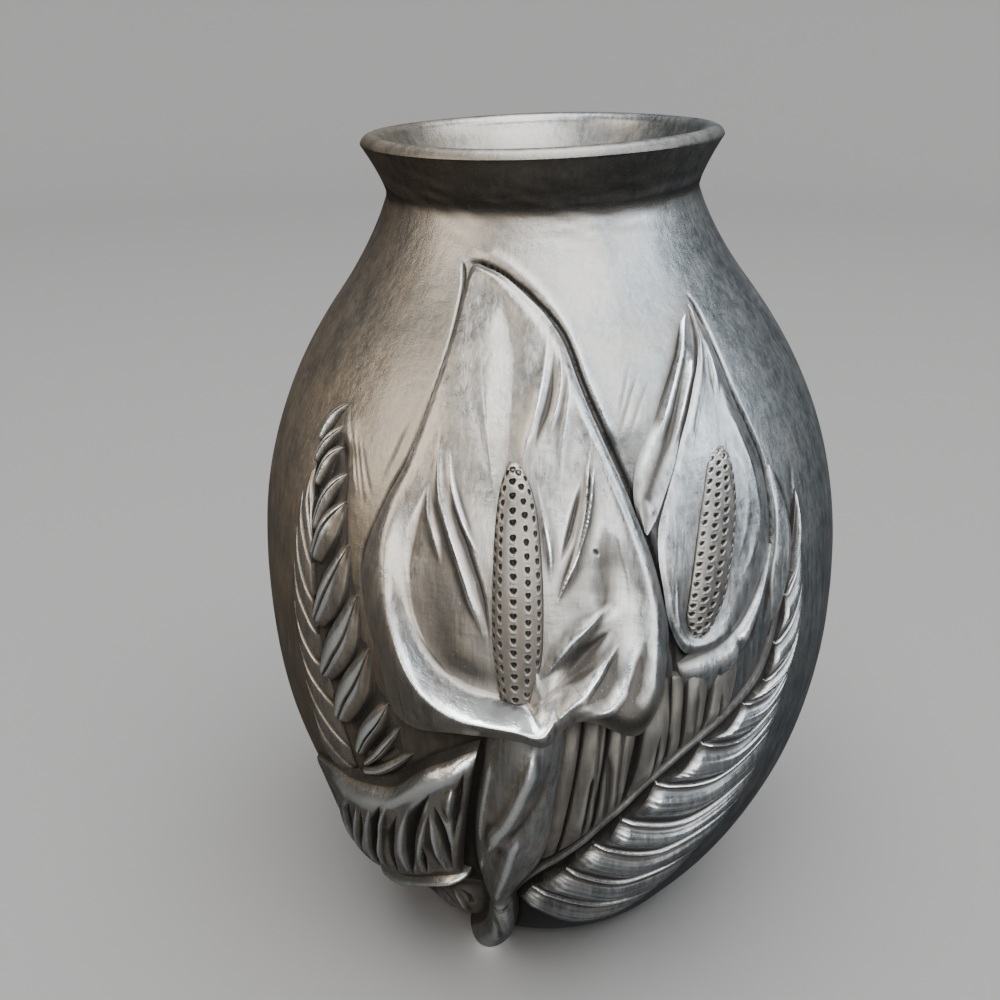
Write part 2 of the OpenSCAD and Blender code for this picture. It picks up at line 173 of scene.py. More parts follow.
def heightAt(pct):
    # percent up the wall: 50 at the belly, 100 at the neck
    low = pct * pot["bellyZ"] / 50
    high = pot["bellyZ"] + (pct - 50) * (pot["neckZ"] - pot["bellyZ"]) / 50
    return np.where(pct < 50, low, high)


def skin(deg, pct, rise=0.0):
    # a place on the wall, so many millimetres proud of it
    z = heightAt(pct)
    slope = (potRadius(z + 0.01) - potRadius(z - 0.01)) / 0.02
    size = np.sqrt(1 + slope * slope)
    return turn(deg, potRadius(z) + rise / size, z - rise * slope / size, z)


def handWave(x, y, seed, waves=7):
    # slow unevenness of hand work, from -1 to 1
    pick = np.random.default_rng(seed)
    total = 0
    for _ in range(waves):
        across, along, shift = pick.uniform(-1, 1), pick.uniform(-1, 1), pick.uniform(0, 2 * pi)
        total = total + np.sin(across * x + along * y + shift)
    return total / waves


def carve(deg, pct, marks, fadeOver=6, tip=0.45):
    # tool marks on the wall: height, width on the left and right of the stroke, and its points
    spots = skin(deg, pct).reshape(-1, 3)
    flat = np.stack([deg, pct], -1).reshape(-1, 2)
    rise = np.zeros(len(spots))
    for high, left, right, points in marks:
        line = curve(points, 5 * len(points))
        path = skin(line[:, 0], line[:, 1])
        reach = 2.6 * max(left, right)
        near = np.where(((spots > path.min(0) - reach) & (spots < path.max(0) + reach)).all(1))[0]
        if not len(near):
            continue
        best = np.full(len(near), 1e9)
        along = np.zeros(len(near))
        side = np.zeros(len(near))
        for k in range(len(path) - 1):
            run = path[k + 1] - path[k]
            t = np.clip((spots[near] - path[k]) @ run / max(run @ run, 1e-9), 0, 1)
            away = ((spots[near] - path[k] - t[:, None] * run) ** 2).sum(1)
            closer = away < best
            best[closer] = away[closer]
            along[closer] = (k + t[closer]) / (len(path) - 1)
            course, off = line[k + 1] - line[k], flat[near] - line[k]
            side[closer] = (course[0] * off[:, 1] - course[1] * off[:, 0])[closer]
        length = np.linalg.norm(np.diff(path, axis=0), axis=1).sum()
        fade = min(0.42, fadeOver / length)
        taper = ease(along, 0, fade) * ease(1 - along, 0, fade)
        wide = np.where(side > 0, left, right) * (tip + (1 - tip) * taper)
        rise[near] += high * taper * np.exp(-(np.sqrt(best) / wide) ** 1.7)
    return rise.reshape(deg.shape)


def soften(field, passes, wrap):
    # spreads a height field over its neighbours
    field = field.copy()
    for _ in range(passes):
        padded = np.pad(field, ((1, 1), (0, 0)), mode="edge")
        field = 0.5 * field + 0.25 * (padded[:-2] + padded[2:])
        padded = np.pad(field, ((0, 0), (1, 1)), mode="wrap" if wrap else "edge")
        field = 0.5 * field + 0.25 * (padded[:, :-2] + padded[:, 2:])
    return field


def clayMesh(name, points, faces, relief):
    # a closed mesh in metres, with how raised each point stands among its neighbours, the mask of painted
    # highlight on crests and painted shade in cuts
    corners = points[faces[:, :3]]
    volume = np.einsum("ij,ij->", corners[:, 0], np.cross(corners[:, 1], corners[:, 2]))
    second = points[faces[:, [0, 2, 3]]]
    volume += np.einsum("ij,ij->", second[:, 0], np.cross(second[:, 1], second[:, 2]))
    if volume < 0:
        faces = faces[:, ::-1]
    three = faces[:, 2] == faces[:, 3]
    flipped = faces[:, 0] == faces[:, 1]
    loops = [f[:3] if a else f[1:] if b else f for f, a, b in zip(faces.tolist(), three, flipped)]
    mesh = bpy.data.meshes.new(name)
    mesh.from_pydata((points / 1000).tolist(), [], loops)
    mesh.polygons.foreach_set("use_smooth", np.ones(len(mesh.polygons), bool))
    mesh.set_sharp_from_angle(angle=radians(58))
    mesh.attributes.new("relief", "FLOAT", "POINT").data.foreach_set("value", relief.astype(np.float32))
    piece = bpy.data.objects.new(name, mesh)
    scene.collection.objects.link(piece)
    return piece


def quads(grid):
    return np.stack([grid[:-1, :-1], grid[1:, :-1], grid[1:, 1:], grid[:-1, 1:]], -1).reshape(-1, 4)


def sampleGrid(grid, row, col, wrap):
    # values between the grid's points
    if wrap:
        grid = np.concatenate([grid, grid[:, :1]], 1)
    r = np.clip(row.astype(int), 0, grid.shape[0] - 2)
    c = np.clip(col.astype(int), 0, grid.shape[1] - 2)
    a, b = row - r, col - c
    low = grid[r, c] * (1 - b) + grid[r, c + 1] * b
    return low * (1 - a) + (grid[r + 1, c] * (1 - b) + grid[r + 1, c + 1] * b) * a


sheets = []  # every modelled face: its piece, its first point, where on the wall it lies and how high


def claySheet(name, deg, pct, rise, wrap=False, sunk=2.2, tuck=0.0, blur=14, sharp=0.35, loops=9, broad=90,
              deep=1.1, lines=None, tone=0.0):
    # a modelled sheet of clay pressed on the wall: its face, its rim and a plain back inside the wall
    rows, cols = deg.shape
    face = skin(deg, pct, rise).reshape(-1, 3)
    grid = np.arange(rows * cols).reshape(rows, cols)
    shrink = np.linspace(1, 0, loops + 1)[:-1, None]
    if wrap:
        edge = grid[0]
        row = tuck + (rows - 1 - tuck) * (1 - shrink) + 0 * edge
        col = np.arange(cols)[None] + 0 * row
        heartRow, heartCol = float(rows - 1), 0.0
    else:
        edge = np.concatenate([grid[0], grid[1:, -1], grid[-1, -2::-1], grid[-2:0:-1, 0]])
        heartRow, heartCol = (rows - 1) / 2, (cols - 1) / 2
        inset = shrink * (1 - tuck / max(rows, cols))
        row = heartRow + (edge // cols - heartRow) * inset
        col = heartCol + (edge % cols - heartCol) * inset
    back = skin(sampleGrid(deg, row, col, wrap), sampleGrid(pct, row, col, wrap), -sunk)
    count, around = rows * cols, len(edge)
    backGrid = count + np.arange(loops * around).reshape(loops, around)
    backGrid = np.hstack([backGrid, backGrid[:, :1]])
    edge = np.append(edge, edge[0])
    heart = count + loops * around
    points = np.concatenate([face, back.reshape(-1, 3), back[-1].mean(0)[None]])
    points[:, 2] = np.maximum(points[:, 2], 0.05)  # nothing goes under the foot
    if wrap:
        grid = np.hstack([grid, grid[:, :1]])
    rim = np.stack([edge[:-1], edge[1:], backGrid[0, 1:], backGrid[0, :-1]], -1)
    last = backGrid[-1]
    shut = np.stack([last[1:], 0 * last[1:] + heart, last[:-1], last[:-1]], -1)
    faces = [quads(grid), quads(backGrid)[:, ::-1], rim, shut]
    if wrap:
        # the face closes in a point
        ring = grid[-1]
        faces.append(np.stack([ring[:-1], 0 * ring[1:] + heart + 1, ring[1:], ring[1:]], -1))
        points = np.concatenate([points, face[ring[:-1]].mean(0)[None]])
    form = rise if lines is None else lines
    # painted light: raised parts of the face get painted highlight, sunken parts painted shade, tone
    # lightens or darkens it further, and the hidden back is fully dark
    raised = (form - soften(form, blur, wrap)) / sharp + deep * (form - soften(form, broad, wrap))
    raised = np.clip(raised + tone, -1, 1).ravel()
    relief = np.full(len(points), -1.0)
    relief[:count] = raised
    if wrap:
        relief[-1] = 0
    piece = clayMesh(name, points, np.concatenate(faces), relief)
    sheets.append((piece, 0, deg, pct, rise))
    return piece


def strip(left, right, mesh):
    # a sheet between two lines, in rows and columns, and the share along and across it
    rows, cols = mesh
    u, v = np.linspace(0, 1, rows)[:, None], np.linspace(0, 1, cols)[None]
    a, b = curve(left, rows)[:, None], curve(right, rows)[:, None]
    both = a + (b - a) * v[..., None]
    return both[..., 0], both[..., 1], u, v


def ringLoft(cage, heart, spans, columns):
    # a sheet through nested rings of [deg, pct, rise], from its edge to its heart
    rings = [curve([spoke[k] for spoke in cage], columns, closed=True) for k in range(len(cage[0]))]
    rings.append(np.tile(np.array(heart, float), (columns, 1)))
    at = np.concatenate([k + np.arange(n) / n for k, n in enumerate(spans)])
    sheet = throughKnots(np.arange(len(rings)), np.array(rings), at)
    return sheet[..., 0], sheet[..., 1], sheet[..., 2]


def fan(lines, perLine, cols):
    # a sheet along lines that each run from root to tip through the same number of points
    lines = np.array(lines, float)
    count, spots = lines.shape[:2]
    at = np.linspace(0, count - 1, perLine * (count - 1) + 1)
    k = np.minimum(at.astype(int), count - 2)
    f = (at - k)[:, None, None]
    sweep = lines[k] * (1 - f) + lines[k + 1] * f
    both = curve(sweep.transpose(1, 0, 2).reshape(spots, -1), cols).reshape(cols, -1, 2).transpose(1, 0, 2)
    u, v = np.meshgrid(at, np.linspace(0, 1, cols), indexing="ij")
    return both[..., 0], both[..., 1], u, v


def dome(v, fullness=1.0):
    return np.clip(np.sin(pi * np.clip(v, 0, 1)), 0, 1) ** fullness


# sums and blends between the nodes of a finish
class Wire:
    def __init__(self, tree, socket=None):
        self.tree, self.socket = tree, socket

    def node(self, kind, settings, inputs, output=0):
        made = self.tree.nodes.new("ShaderNode" + kind)
        for key, value in settings.items():
            setattr(made, key, value)
        for key, value in inputs.items():
            if isinstance(value, Wire):
                self.tree.links.new(value.socket, made.inputs[key])
            else:
                made.inputs[key].default_value = value
        return Wire(self.tree, made.outputs[output])

    def maths(self, operation, *values):
        return self.node("Math", {"operation": operation}, dict(enumerate(values)))

    def __add__(self, other):
        return self.maths("ADD", self, other)

    def __sub__(self, other):
        return self.maths("SUBTRACT", self, other)

    def __rsub__(self, other):
        return self.maths("SUBTRACT", other, self)

    def __mul__(self, other):
        return self.maths("MULTIPLY", self, other)

    __radd__, __rmul__ = __add__, __mul__

    def span(self, low, high):
        # 0 at low, 1 at high, held between
        return self.node("MapRange", {"clamp": True}, {0: self, 1: low, 2: high, 3: 0.0, 4: 1.0})

    def blend(self, here, there):
        # one colour where 0, another where 1
        return self.node("Mix", {"data_type": "RGBA"}, {0: self, 6: here, 7: there}, 2)

    def stretch(self, by):
        return self.node("VectorMath", {"operation": "MULTIPLY"}, {0: self, 1: by})


# three finishes of the same clay: colours, among them painted shade for the cuts, a painted highlight for
# the crests and a warm tint that is partly painted reflection, shine from smooth to matt, depth of the
# marks, and the record's slot
clayLooks = {
    "burnishedClay": {
        "dark": (0.065, 0.071, 0.076, 1), "light": (0.168, 0.182, 0.19, 1), "warmPatchesAndReflection": (0.18, 0.142, 0.098, 1),
        "groove": (0.02, 0.019, 0.018, 1), "dust": (0.30, 0.29, 0.27, 1), "crestHighlight": (0.24, 0.255, 0.26, 1),
        "metallic": 0.85, "coat": 0.45, "smooth": 0.27, "matt": 0.48,
        "strokes": 0.15, "grain": 0.14, "dents": 0.5, "slot": "burnished_clay",
    },
    "carvedClay": {
        "dark": (0.045, 0.048, 0.051, 1), "light": (0.165, 0.178, 0.187, 1), "warmPatchesAndReflection": (0.14, 0.112, 0.078, 1),
        "groove": (0.015, 0.014, 0.013, 1), "dust": (0.32, 0.30, 0.28, 1), "crestHighlight": (0.36, 0.375, 0.375, 1),
        "metallic": 0.85, "coat": 0.5, "smooth": 0.21, "matt": 0.43,
        "strokes": 0.2, "grain": 0.06, "dents": 0.42, "slot": "relief_clay",
    },
    "stippledClay": {
        "dark": (0.04, 0.039, 0.037, 1), "light": (0.09, 0.087, 0.081, 1), "warmPatchesAndReflection": (0.1, 0.083, 0.062, 1),
        "groove": (0.012, 0.011, 0.01, 1), "dust": (0.32, 0.30, 0.28, 1), "crestHighlight": (0.16, 0.155, 0.145, 1),
        "metallic": 0.8, "coat": 0.4, "smooth": 0.34, "matt": 0.54,
        "strokes": 0.08, "grain": 0.1, "dents": 0.2, "slot": "relief_clay",
    },
}

# patterns in the finish: stretch in x, y and z, scale in a millimetre, and detail
patterns = {
    "cloud": ((1, 1, 1), 0.03, 3),
    "patch": ((1, 1, 0.6), 0.14, 5),
    "strokes": ((0.9, 0.9, 0.1), 1, 5),  # the burnishing stone, up and down
    "rubbing": ((0.16, 0.16, 0.9), 0.8, 4),  # the same, round the pot
    "grain": ((1, 1, 1), 2.6, 4),
    "dents": ((1, 1, 0.7), 0.22, 2),
    "hairs": ((2.4, 2.4, 0.12), 1, 2),
    "scores": ((0.5, 0.5, 1.6), 0.9, 2),
    "speck": ((1, 1, 1), 3.4, 1),
}


def blackware(name, look):
    # smoked clay rubbed to a graphite shine: painted highlight on the crests, painted shade in the cuts,
    # which are also matt and dusty
    material = bpy.data.materials.new(name)
    material.use_nodes = True
    tree = material.node_tree
    shader = tree.nodes["Principled BSDF"]
    pen = Wire(tree)
    relief = pen.node("Attribute", {"attribute_name": "relief"}, {}, 2)
    at = pen.node("TexCoord", {}, {}, 3)
    spot = at.stretch((1000, 1000, 1000))  # millimetres
    left = pen.node("SeparateXYZ", {}, {0: at}).span(0.03, -0.05)
    noise = {}
    for key, (stretch, scale, detail) in patterns.items():
        noise[key] = pen.node("TexNoise", {}, {
            "Vector": spot.stretch(stretch), "Scale": scale, "Detail": detail, "Roughness": 0.6})
    cloud, patch = noise["cloud"].span(0.3, 0.7), noise["patch"].span(0.3, 0.7)
    strokes, rubbing = noise["strokes"], noise["rubbing"]
    streak = strokes.span(0.34, 0.68)
    hairs, scores = noise["hairs"].span(0.66, 0.72), noise["scores"].span(0.7, 0.76)
    speck = noise["speck"].span(0.7, 0.76)
    # crest is the mask of painted highlight, cut the mask of painted shade
    crest = relief.span(0.05, 0.75)
    cut = relief.span(-0.05, -0.75)
    tone = (cloud * 0.25 + patch * 0.4 + streak * 0.45).span(0.1, 0.95)
    colour = tone.blend(look["dark"], look["light"])
    # painted warm reflection on the left side and in the cuts, mixed with random warm patches
    colour = (left * 0.65 + patch * 0.4 + cut * 0.35 - 0.25).span(0.0, 1.0).blend(colour, look["warmPatchesAndReflection"])
    # painted shade: the cuts turn near black
    colour = (cut * 0.95).blend(colour, look["groove"])
    # painted highlight: the crests turn light, and the highest crests brighter still
    colour = (crest * 0.6).blend(colour, look["light"])
    colour = (relief.span(0.45, 1.0) * 0.9).blend(colour, look["crestHighlight"])
    dust = (speck * (cut * 0.1 + 0.08) + hairs * 0.1 + scores * 0.06).span(0.05, 0.6)
    colour = dust.blend(colour, look["dust"])
    tree.links.new(colour.socket, shader.inputs["Base Color"])
    worn = (streak * 0.3 + rubbing * 0.4 + patch * 0.35 + cut * 0.5 - crest * 0.3).span(0.2, 1.0)
    rough = worn * (look["matt"] - look["smooth"]) + look["smooth"] + cut * 0.14 + dust * 0.2
    tree.links.new(rough.socket, shader.inputs["Roughness"])
    metal = (1 - dust * 0.8) * look["metallic"]
    tree.links.new(metal.socket, shader.inputs["Metallic"])
    height = strokes * look["strokes"] + rubbing * (look["strokes"] * 0.6) + noise["grain"] * look["grain"]
    height = height + noise["dents"] * look["dents"] - hairs * 0.02 - scores * 0.015
    bump = pen.node("Bump", {}, {"Strength": 0.55, "Distance": 0.001, "Height": height})
    tree.links.new(bump.socket, shader.inputs["Normal"])
    tree.links.new(((1 - cut) * look["coat"]).socket, shader.inputs["Coat Weight"])
    shader.inputs["Coat Roughness"].default_value = 0.23
    shader.inputs["Specular IOR Level"].default_value = 0.45
    return material


clays = {name: blackware(name, look) for name, look in clayLooks.items()}
print("clay finishes mixed")


def place(piece, clay, *nodes):
    # a finished piece takes the place of the frame's nodes
    piece.data.materials.append(clays[clay])
    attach(piece, "root")
    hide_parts(*nodes)


# cuts and banks in the wall round the carved pieces: height, left and right width in mm, points
wallMarks = [
    (-1.0, 0.55, 0.7, [[-25, 96.4], [-20, 96], [-16, 95.6], [-12.3, 95], [-9.4, 94.3], [-6.4, 93.6],
                       [-3.5, 92.6], [-0.5, 91.5], [2.5, 90], [4.2, 88.4], [5.9, 85.7], [7.8, 83.1],
                       [9.6, 80.6], [11.3, 78], [12.9, 75.5], [14.4, 72.5], [15.4, 70], [16.3, 67.4],
                       [17.2, 64.4], [18, 61.4], [18.6, 57]]),
    (0.3, 1.2, 1.2, [[-24, 97.4], [-16, 96.8], [-9, 95.5], [-3, 93.8], [1.5, 91.9], [5, 89], [7.5, 85.6],
                     [10, 82], [12, 79.3]]),
    (-2.0, 9, 9, [[-12, 80], [-12, 72], [-10, 64], [-4, 61], [4, 64], [4, 72], [-2, 80]]),
    (-0.55, 0.4, 0.4, [[-26.5, 96.4], [-25.3, 95.4], [-24.3, 93.2], [-24.3, 89], [-25.2, 85.5],
                       [-26.4, 82], [-27.4, 79.5], [-28.7, 77.4], [-30.4, 75.4], [-31.8, 73.3],
                       [-33.6, 70.4], [-34.9, 68.4], [-35.3, 66], [-34.7, 63.5], [-33.9, 61.2],
                       [-32.9, 58.8], [-31.8, 56.7], [-31, 54.5], [-30.4, 52.4], [-29, 50.3]]),
    (-1.3, 0.36, 0.36, [[39.3, 92], [40.4, 90.5], [40.4, 88], [40.2, 85], [40.2, 82.6], [40.9, 80],
                        [41.7, 77.8], [42.3, 75.7], [42.3, 73.5], [41.9, 70.3], [41.3, 68], [40.3, 65.8],
                        [38.9, 64], [37, 62.4], [35, 60.9], [32.4, 59.2], [29.6, 57.9], [26.4, 57.2],
                        [23, 57], [20.4, 56.8]]),
    (-1.0, 0.45, 0.5, [[45, 74], [45.8, 72], [46.4, 70.4], [47.1, 68], [47.3, 65.9], [46.6, 64.1],
                       [45.5, 61.8], [43.9, 60]]),
    (-0.8, 0.5, 0.5, [[51, 73.4], [49.4, 70.8], [48.2, 68], [47.5, 65.8]]),
    (-0.5, 0.4, 0.4, [[12.7, 76], [14.2, 73.6], [15.4, 71], [16.3, 68.5], [17.1, 65.5], [17.8, 62],
                      [18.5, 59.5], [18.9, 57], [18.8, 54]]),
    (-0.16, 0.3, 0.3, [[11.5, 80], [15, 83.5], [19, 86.5]]),
    (-0.14, 0.25, 0.25, [[12, 81.5], [14.5, 84.5], [17, 87]]),
    (-0.14, 0.25, 0.25, [[13, 79.5], [17, 83], [21, 85.6]]),
    (-0.18, 0.3, 0.3, [[-32.2, 76.6], [-31, 79.4], [-29.4, 81.6]]),
    (-0.14, 0.25, 0.25, [[-33.5, 74.5], [-32.4, 77], [-31, 79]]),
    (-2.2, 4.4, 4.4, [[-34, 40], [-36.6, 46], [-40, 53], [-43, 60], [-45, 67], [-46.6, 73], [-48, 79]]),
    (0.3, 2.4, 2.4, [[-47, 81.4], [-44, 79], [-41, 76], [-37, 73]]),
    (-0.2, 0.3, 0.3, [[-44.4, 80.4], [-41, 77], [-37.4, 72.6]]),
    (-0.18, 0.25, 0.25, [[-42.4, 79.8], [-39, 76], [-36, 72]]),
    (-0.18, 0.25, 0.25, [[-40.4, 79], [-37, 75.6], [-34.4, 73]]),
    (-0.16, 0.3, 0.3, [[-46, 81.4], [-43, 78.4], [-40, 74]]),
    (-0.5, 0.6, 0.6, [[36.5, 60.2], [35.6, 58], [34.6, 55.5]]),
    (-0.5, 0.7, 0.7, [[39.6, 63], [38.6, 60], [37.4, 57]]),
]

# the pot's mesh, fine over the carved front, in degrees round and millimetres up
shellGrid = {
    "left": -60, "right": 54, "frontStep": 0.34, "backStep": 1.8,
    "carvedFrom": 62, "carvedTo": 182, "carvedStep": 0.48, "rowStep": 0.9,
    "collarRows": 22, "lipRows": 14, "insideRows": 69, "bendRows": 6, "floorRows": 9, "underRows": 7,
    "bend": 6,  # the round corner inside, between wall and floor
    "hub": 1.5,  # the middle of the floor
}


def potShell():
    p, g = pot, shellGrid
    front = np.arange(g["left"], g["right"], g["frontStep"])
    back = np.arange(g["right"], 360 + g["left"], g["backStep"])
    deg = np.concatenate([front, back])
    deg = np.where(deg > 180, deg - 360, deg)
    z = np.concatenate([
        np.arange(0, g["carvedFrom"], g["rowStep"]),
        np.arange(g["carvedFrom"], g["carvedTo"], g["carvedStep"]),
        np.linspace(g["carvedTo"], p["rimZ"], g["collarRows"]),
    ])
    outerR = potRadius(z)
    foot = np.clip(1 - z / p["footRound"], 0, 1)
    outerR = outerR - p["footRound"] * (1 - np.sqrt(np.clip(1 - foot**2, 0, 1)))
    pct = np.where(z < p["bellyZ"], 50 * z / p["bellyZ"],
                   50 + 50 * (z - p["bellyZ"]) / (p["neckZ"] - p["bellyZ"]))
    degGrid, pctGrid = np.meshgrid(deg, pct)
    # the unevenness closes on itself behind the pot
    around, behind = [np.degrees(f(np.radians(degGrid))) for f in (np.sin, np.cos)]
    wave = handWave(around * 0.06, pctGrid * 0.14 + behind * 0.05, 3) * 0.6
    wave = wave + handWave(around * 0.16, pctGrid * 0.5 + behind * 0.12, 5) * 0.4
    rise = p["unevenness"] * (np.clip(wave, -1, 1) - 1) * 0.5 * ease(pctGrid, 0, 6)
    # scraping under the collar
    scrape = handWave(around * 0.5, pctGrid * 6 + behind * 0.4, 8, 9)
    rise += 0.1 * scrape * ease(pctGrid, 97, 100) * ease(106 - pctGrid, 0, 4)
    block = np.ix_((z > g["carvedFrom"]) & (z < g["carvedTo"]), (deg >= g["left"]) & (deg <= g["right"]))
    rise[block] += carve(degGrid[block], pctGrid[block], wallMarks)
    slope = np.gradient(outerR, z)[:, None]
    size = np.sqrt(1 + slope**2)
    level = z[:, None] + 0 * rise
    lift = level - rise * slope / size * ease(level, 0, 8)
    outer = turn(degGrid, outerR[:, None] + rise / size, lift, level)
    # lip, inside and floor, from the rim down to the middle
    sine, cosine = np.sin(np.radians(deg)), np.cos(np.radians(deg))
    lipWave = 0.5 * handWave(sine * 3, cosine * 3, 11) - 0.5
    arc = np.linspace(0, pi, g["lipRows"] + 1)[1:]
    lipR = p["rimR"] - p["lipRound"] + p["lipRound"] * np.cos(arc)
    lipZ = p["rimZ"] + p["lipRound"] * np.sin(arc)
    inZ = np.linspace(p["rimZ"], p["floor"] + g["bend"], g["insideRows"] + 1)[1:]
    inR = potRadius(inZ) - p["wall"]
    corner = np.linspace(0, pi / 2, g["bendRows"] + 1)[1:]
    bendR = inR[-1] - g["bend"] + g["bend"] * np.cos(corner)
    bendZ = p["floor"] + g["bend"] - g["bend"] * np.sin(corner)
    floorR = np.linspace(bendR[-1], g["hub"], g["floorRows"] + 1)[1:]
    insideR = np.concatenate([lipR, inR, bendR, floorR])[:, None]
    insideZ = np.concatenate([lipZ, inZ, bendZ, 0 * floorR + p["floor"]])[:, None]
    ripple = 0.2 * handWave(sine * 2, insideZ * 0.25 + cosine, 13)
    ripple = ripple * ease(p["rimZ"] - insideZ, 0, 20) * ease(insideR, 2, 30)
    raised = lipWave * ease(insideZ, p["rimZ"] - 4, p["rimZ"] + 2)
    inner = turn(deg + 0 * ripple, insideR + ripple, insideZ + raised, insideZ + 0 * ripple)
    underR = np.linspace(g["hub"], outerR[0], g["underRows"] + 1)[:-1, None] + 0 * deg
    under = turn(deg + 0 * underR, underR, 0 * underR)
    grid = np.concatenate([under, outer, inner])
    rows, cols = grid.shape[:2]
    points = grid.reshape(-1, 3)
    index = np.arange(rows * cols).reshape(rows, cols)
    index = np.hstack([index, index[:, :1]])
    top, low = len(points), len(points) + 1
    faces = [quads(index)]
    faces.append(np.stack([index[-1, :-1], 0 * index[-1, 1:] + top, index[-1, 1:], index[-1, 1:]], -1))
    faces.append(np.stack([index[0, 1:], 0 * index[0, 1:] + low, index[0, :-1], index[0, :-1]], -1))
    points = np.concatenate([points, [[0, 0, p["floor"]], [0, 0, 0]]])
    points[top] = points[index[-1, :-1]].mean(0)
    # the wall's marks give painted highlight on their banks and painted shade in their cuts
    raisedOuter = np.clip((rise - soften(rise, 8, True)) / 0.35, -1, 1)
    # painted shade on the collar, darkest in the crease, and on the inside of the mouth and the lip's outer
    # half
    collarShade = 0.44 - 0.22 * ease(level, p["rimZ"] - 7, p["rimZ"])
    collarShade = collarShade + 0.12 * handWave(around * 0.12, pctGrid * 3 + behind * 0.1, 9, 9)
    raisedOuter -= collarShade * ease(level, p["creaseZ"] - 3.2, p["creaseZ"] + 0.8)
    raisedOuter -= 0.2 * np.exp(-((level - p["creaseZ"] - 0.4) / 1.4) ** 2)
    inside = -0.3 * ease(p["rimZ"] - insideZ, -1, 4) + 0 * deg
    outerHalf = np.clip(1 - 2 * np.arange(g["lipRows"]) / g["lipRows"], 0, 1)[:, None]
    inside[:g["lipRows"]] -= 0.24 + 0.45 * outerHalf + 0.3 * lipWave
    relief = np.concatenate([np.zeros((len(under), cols)), raisedOuter, inside]).ravel()
    piece = clayMesh("potShell", points, np.concatenate(faces), np.concatenate([relief, [0, 0]]))
    sheets.append((piece, len(under) * cols, degGrid, pctGrid, rise))
    return piece


place(potShell(), "burnishedClay",
      "floor_slab", "lower_wall", "belly_wall", "shoulder_wall", "neck_wall", "neck_collar")
print("pot built")
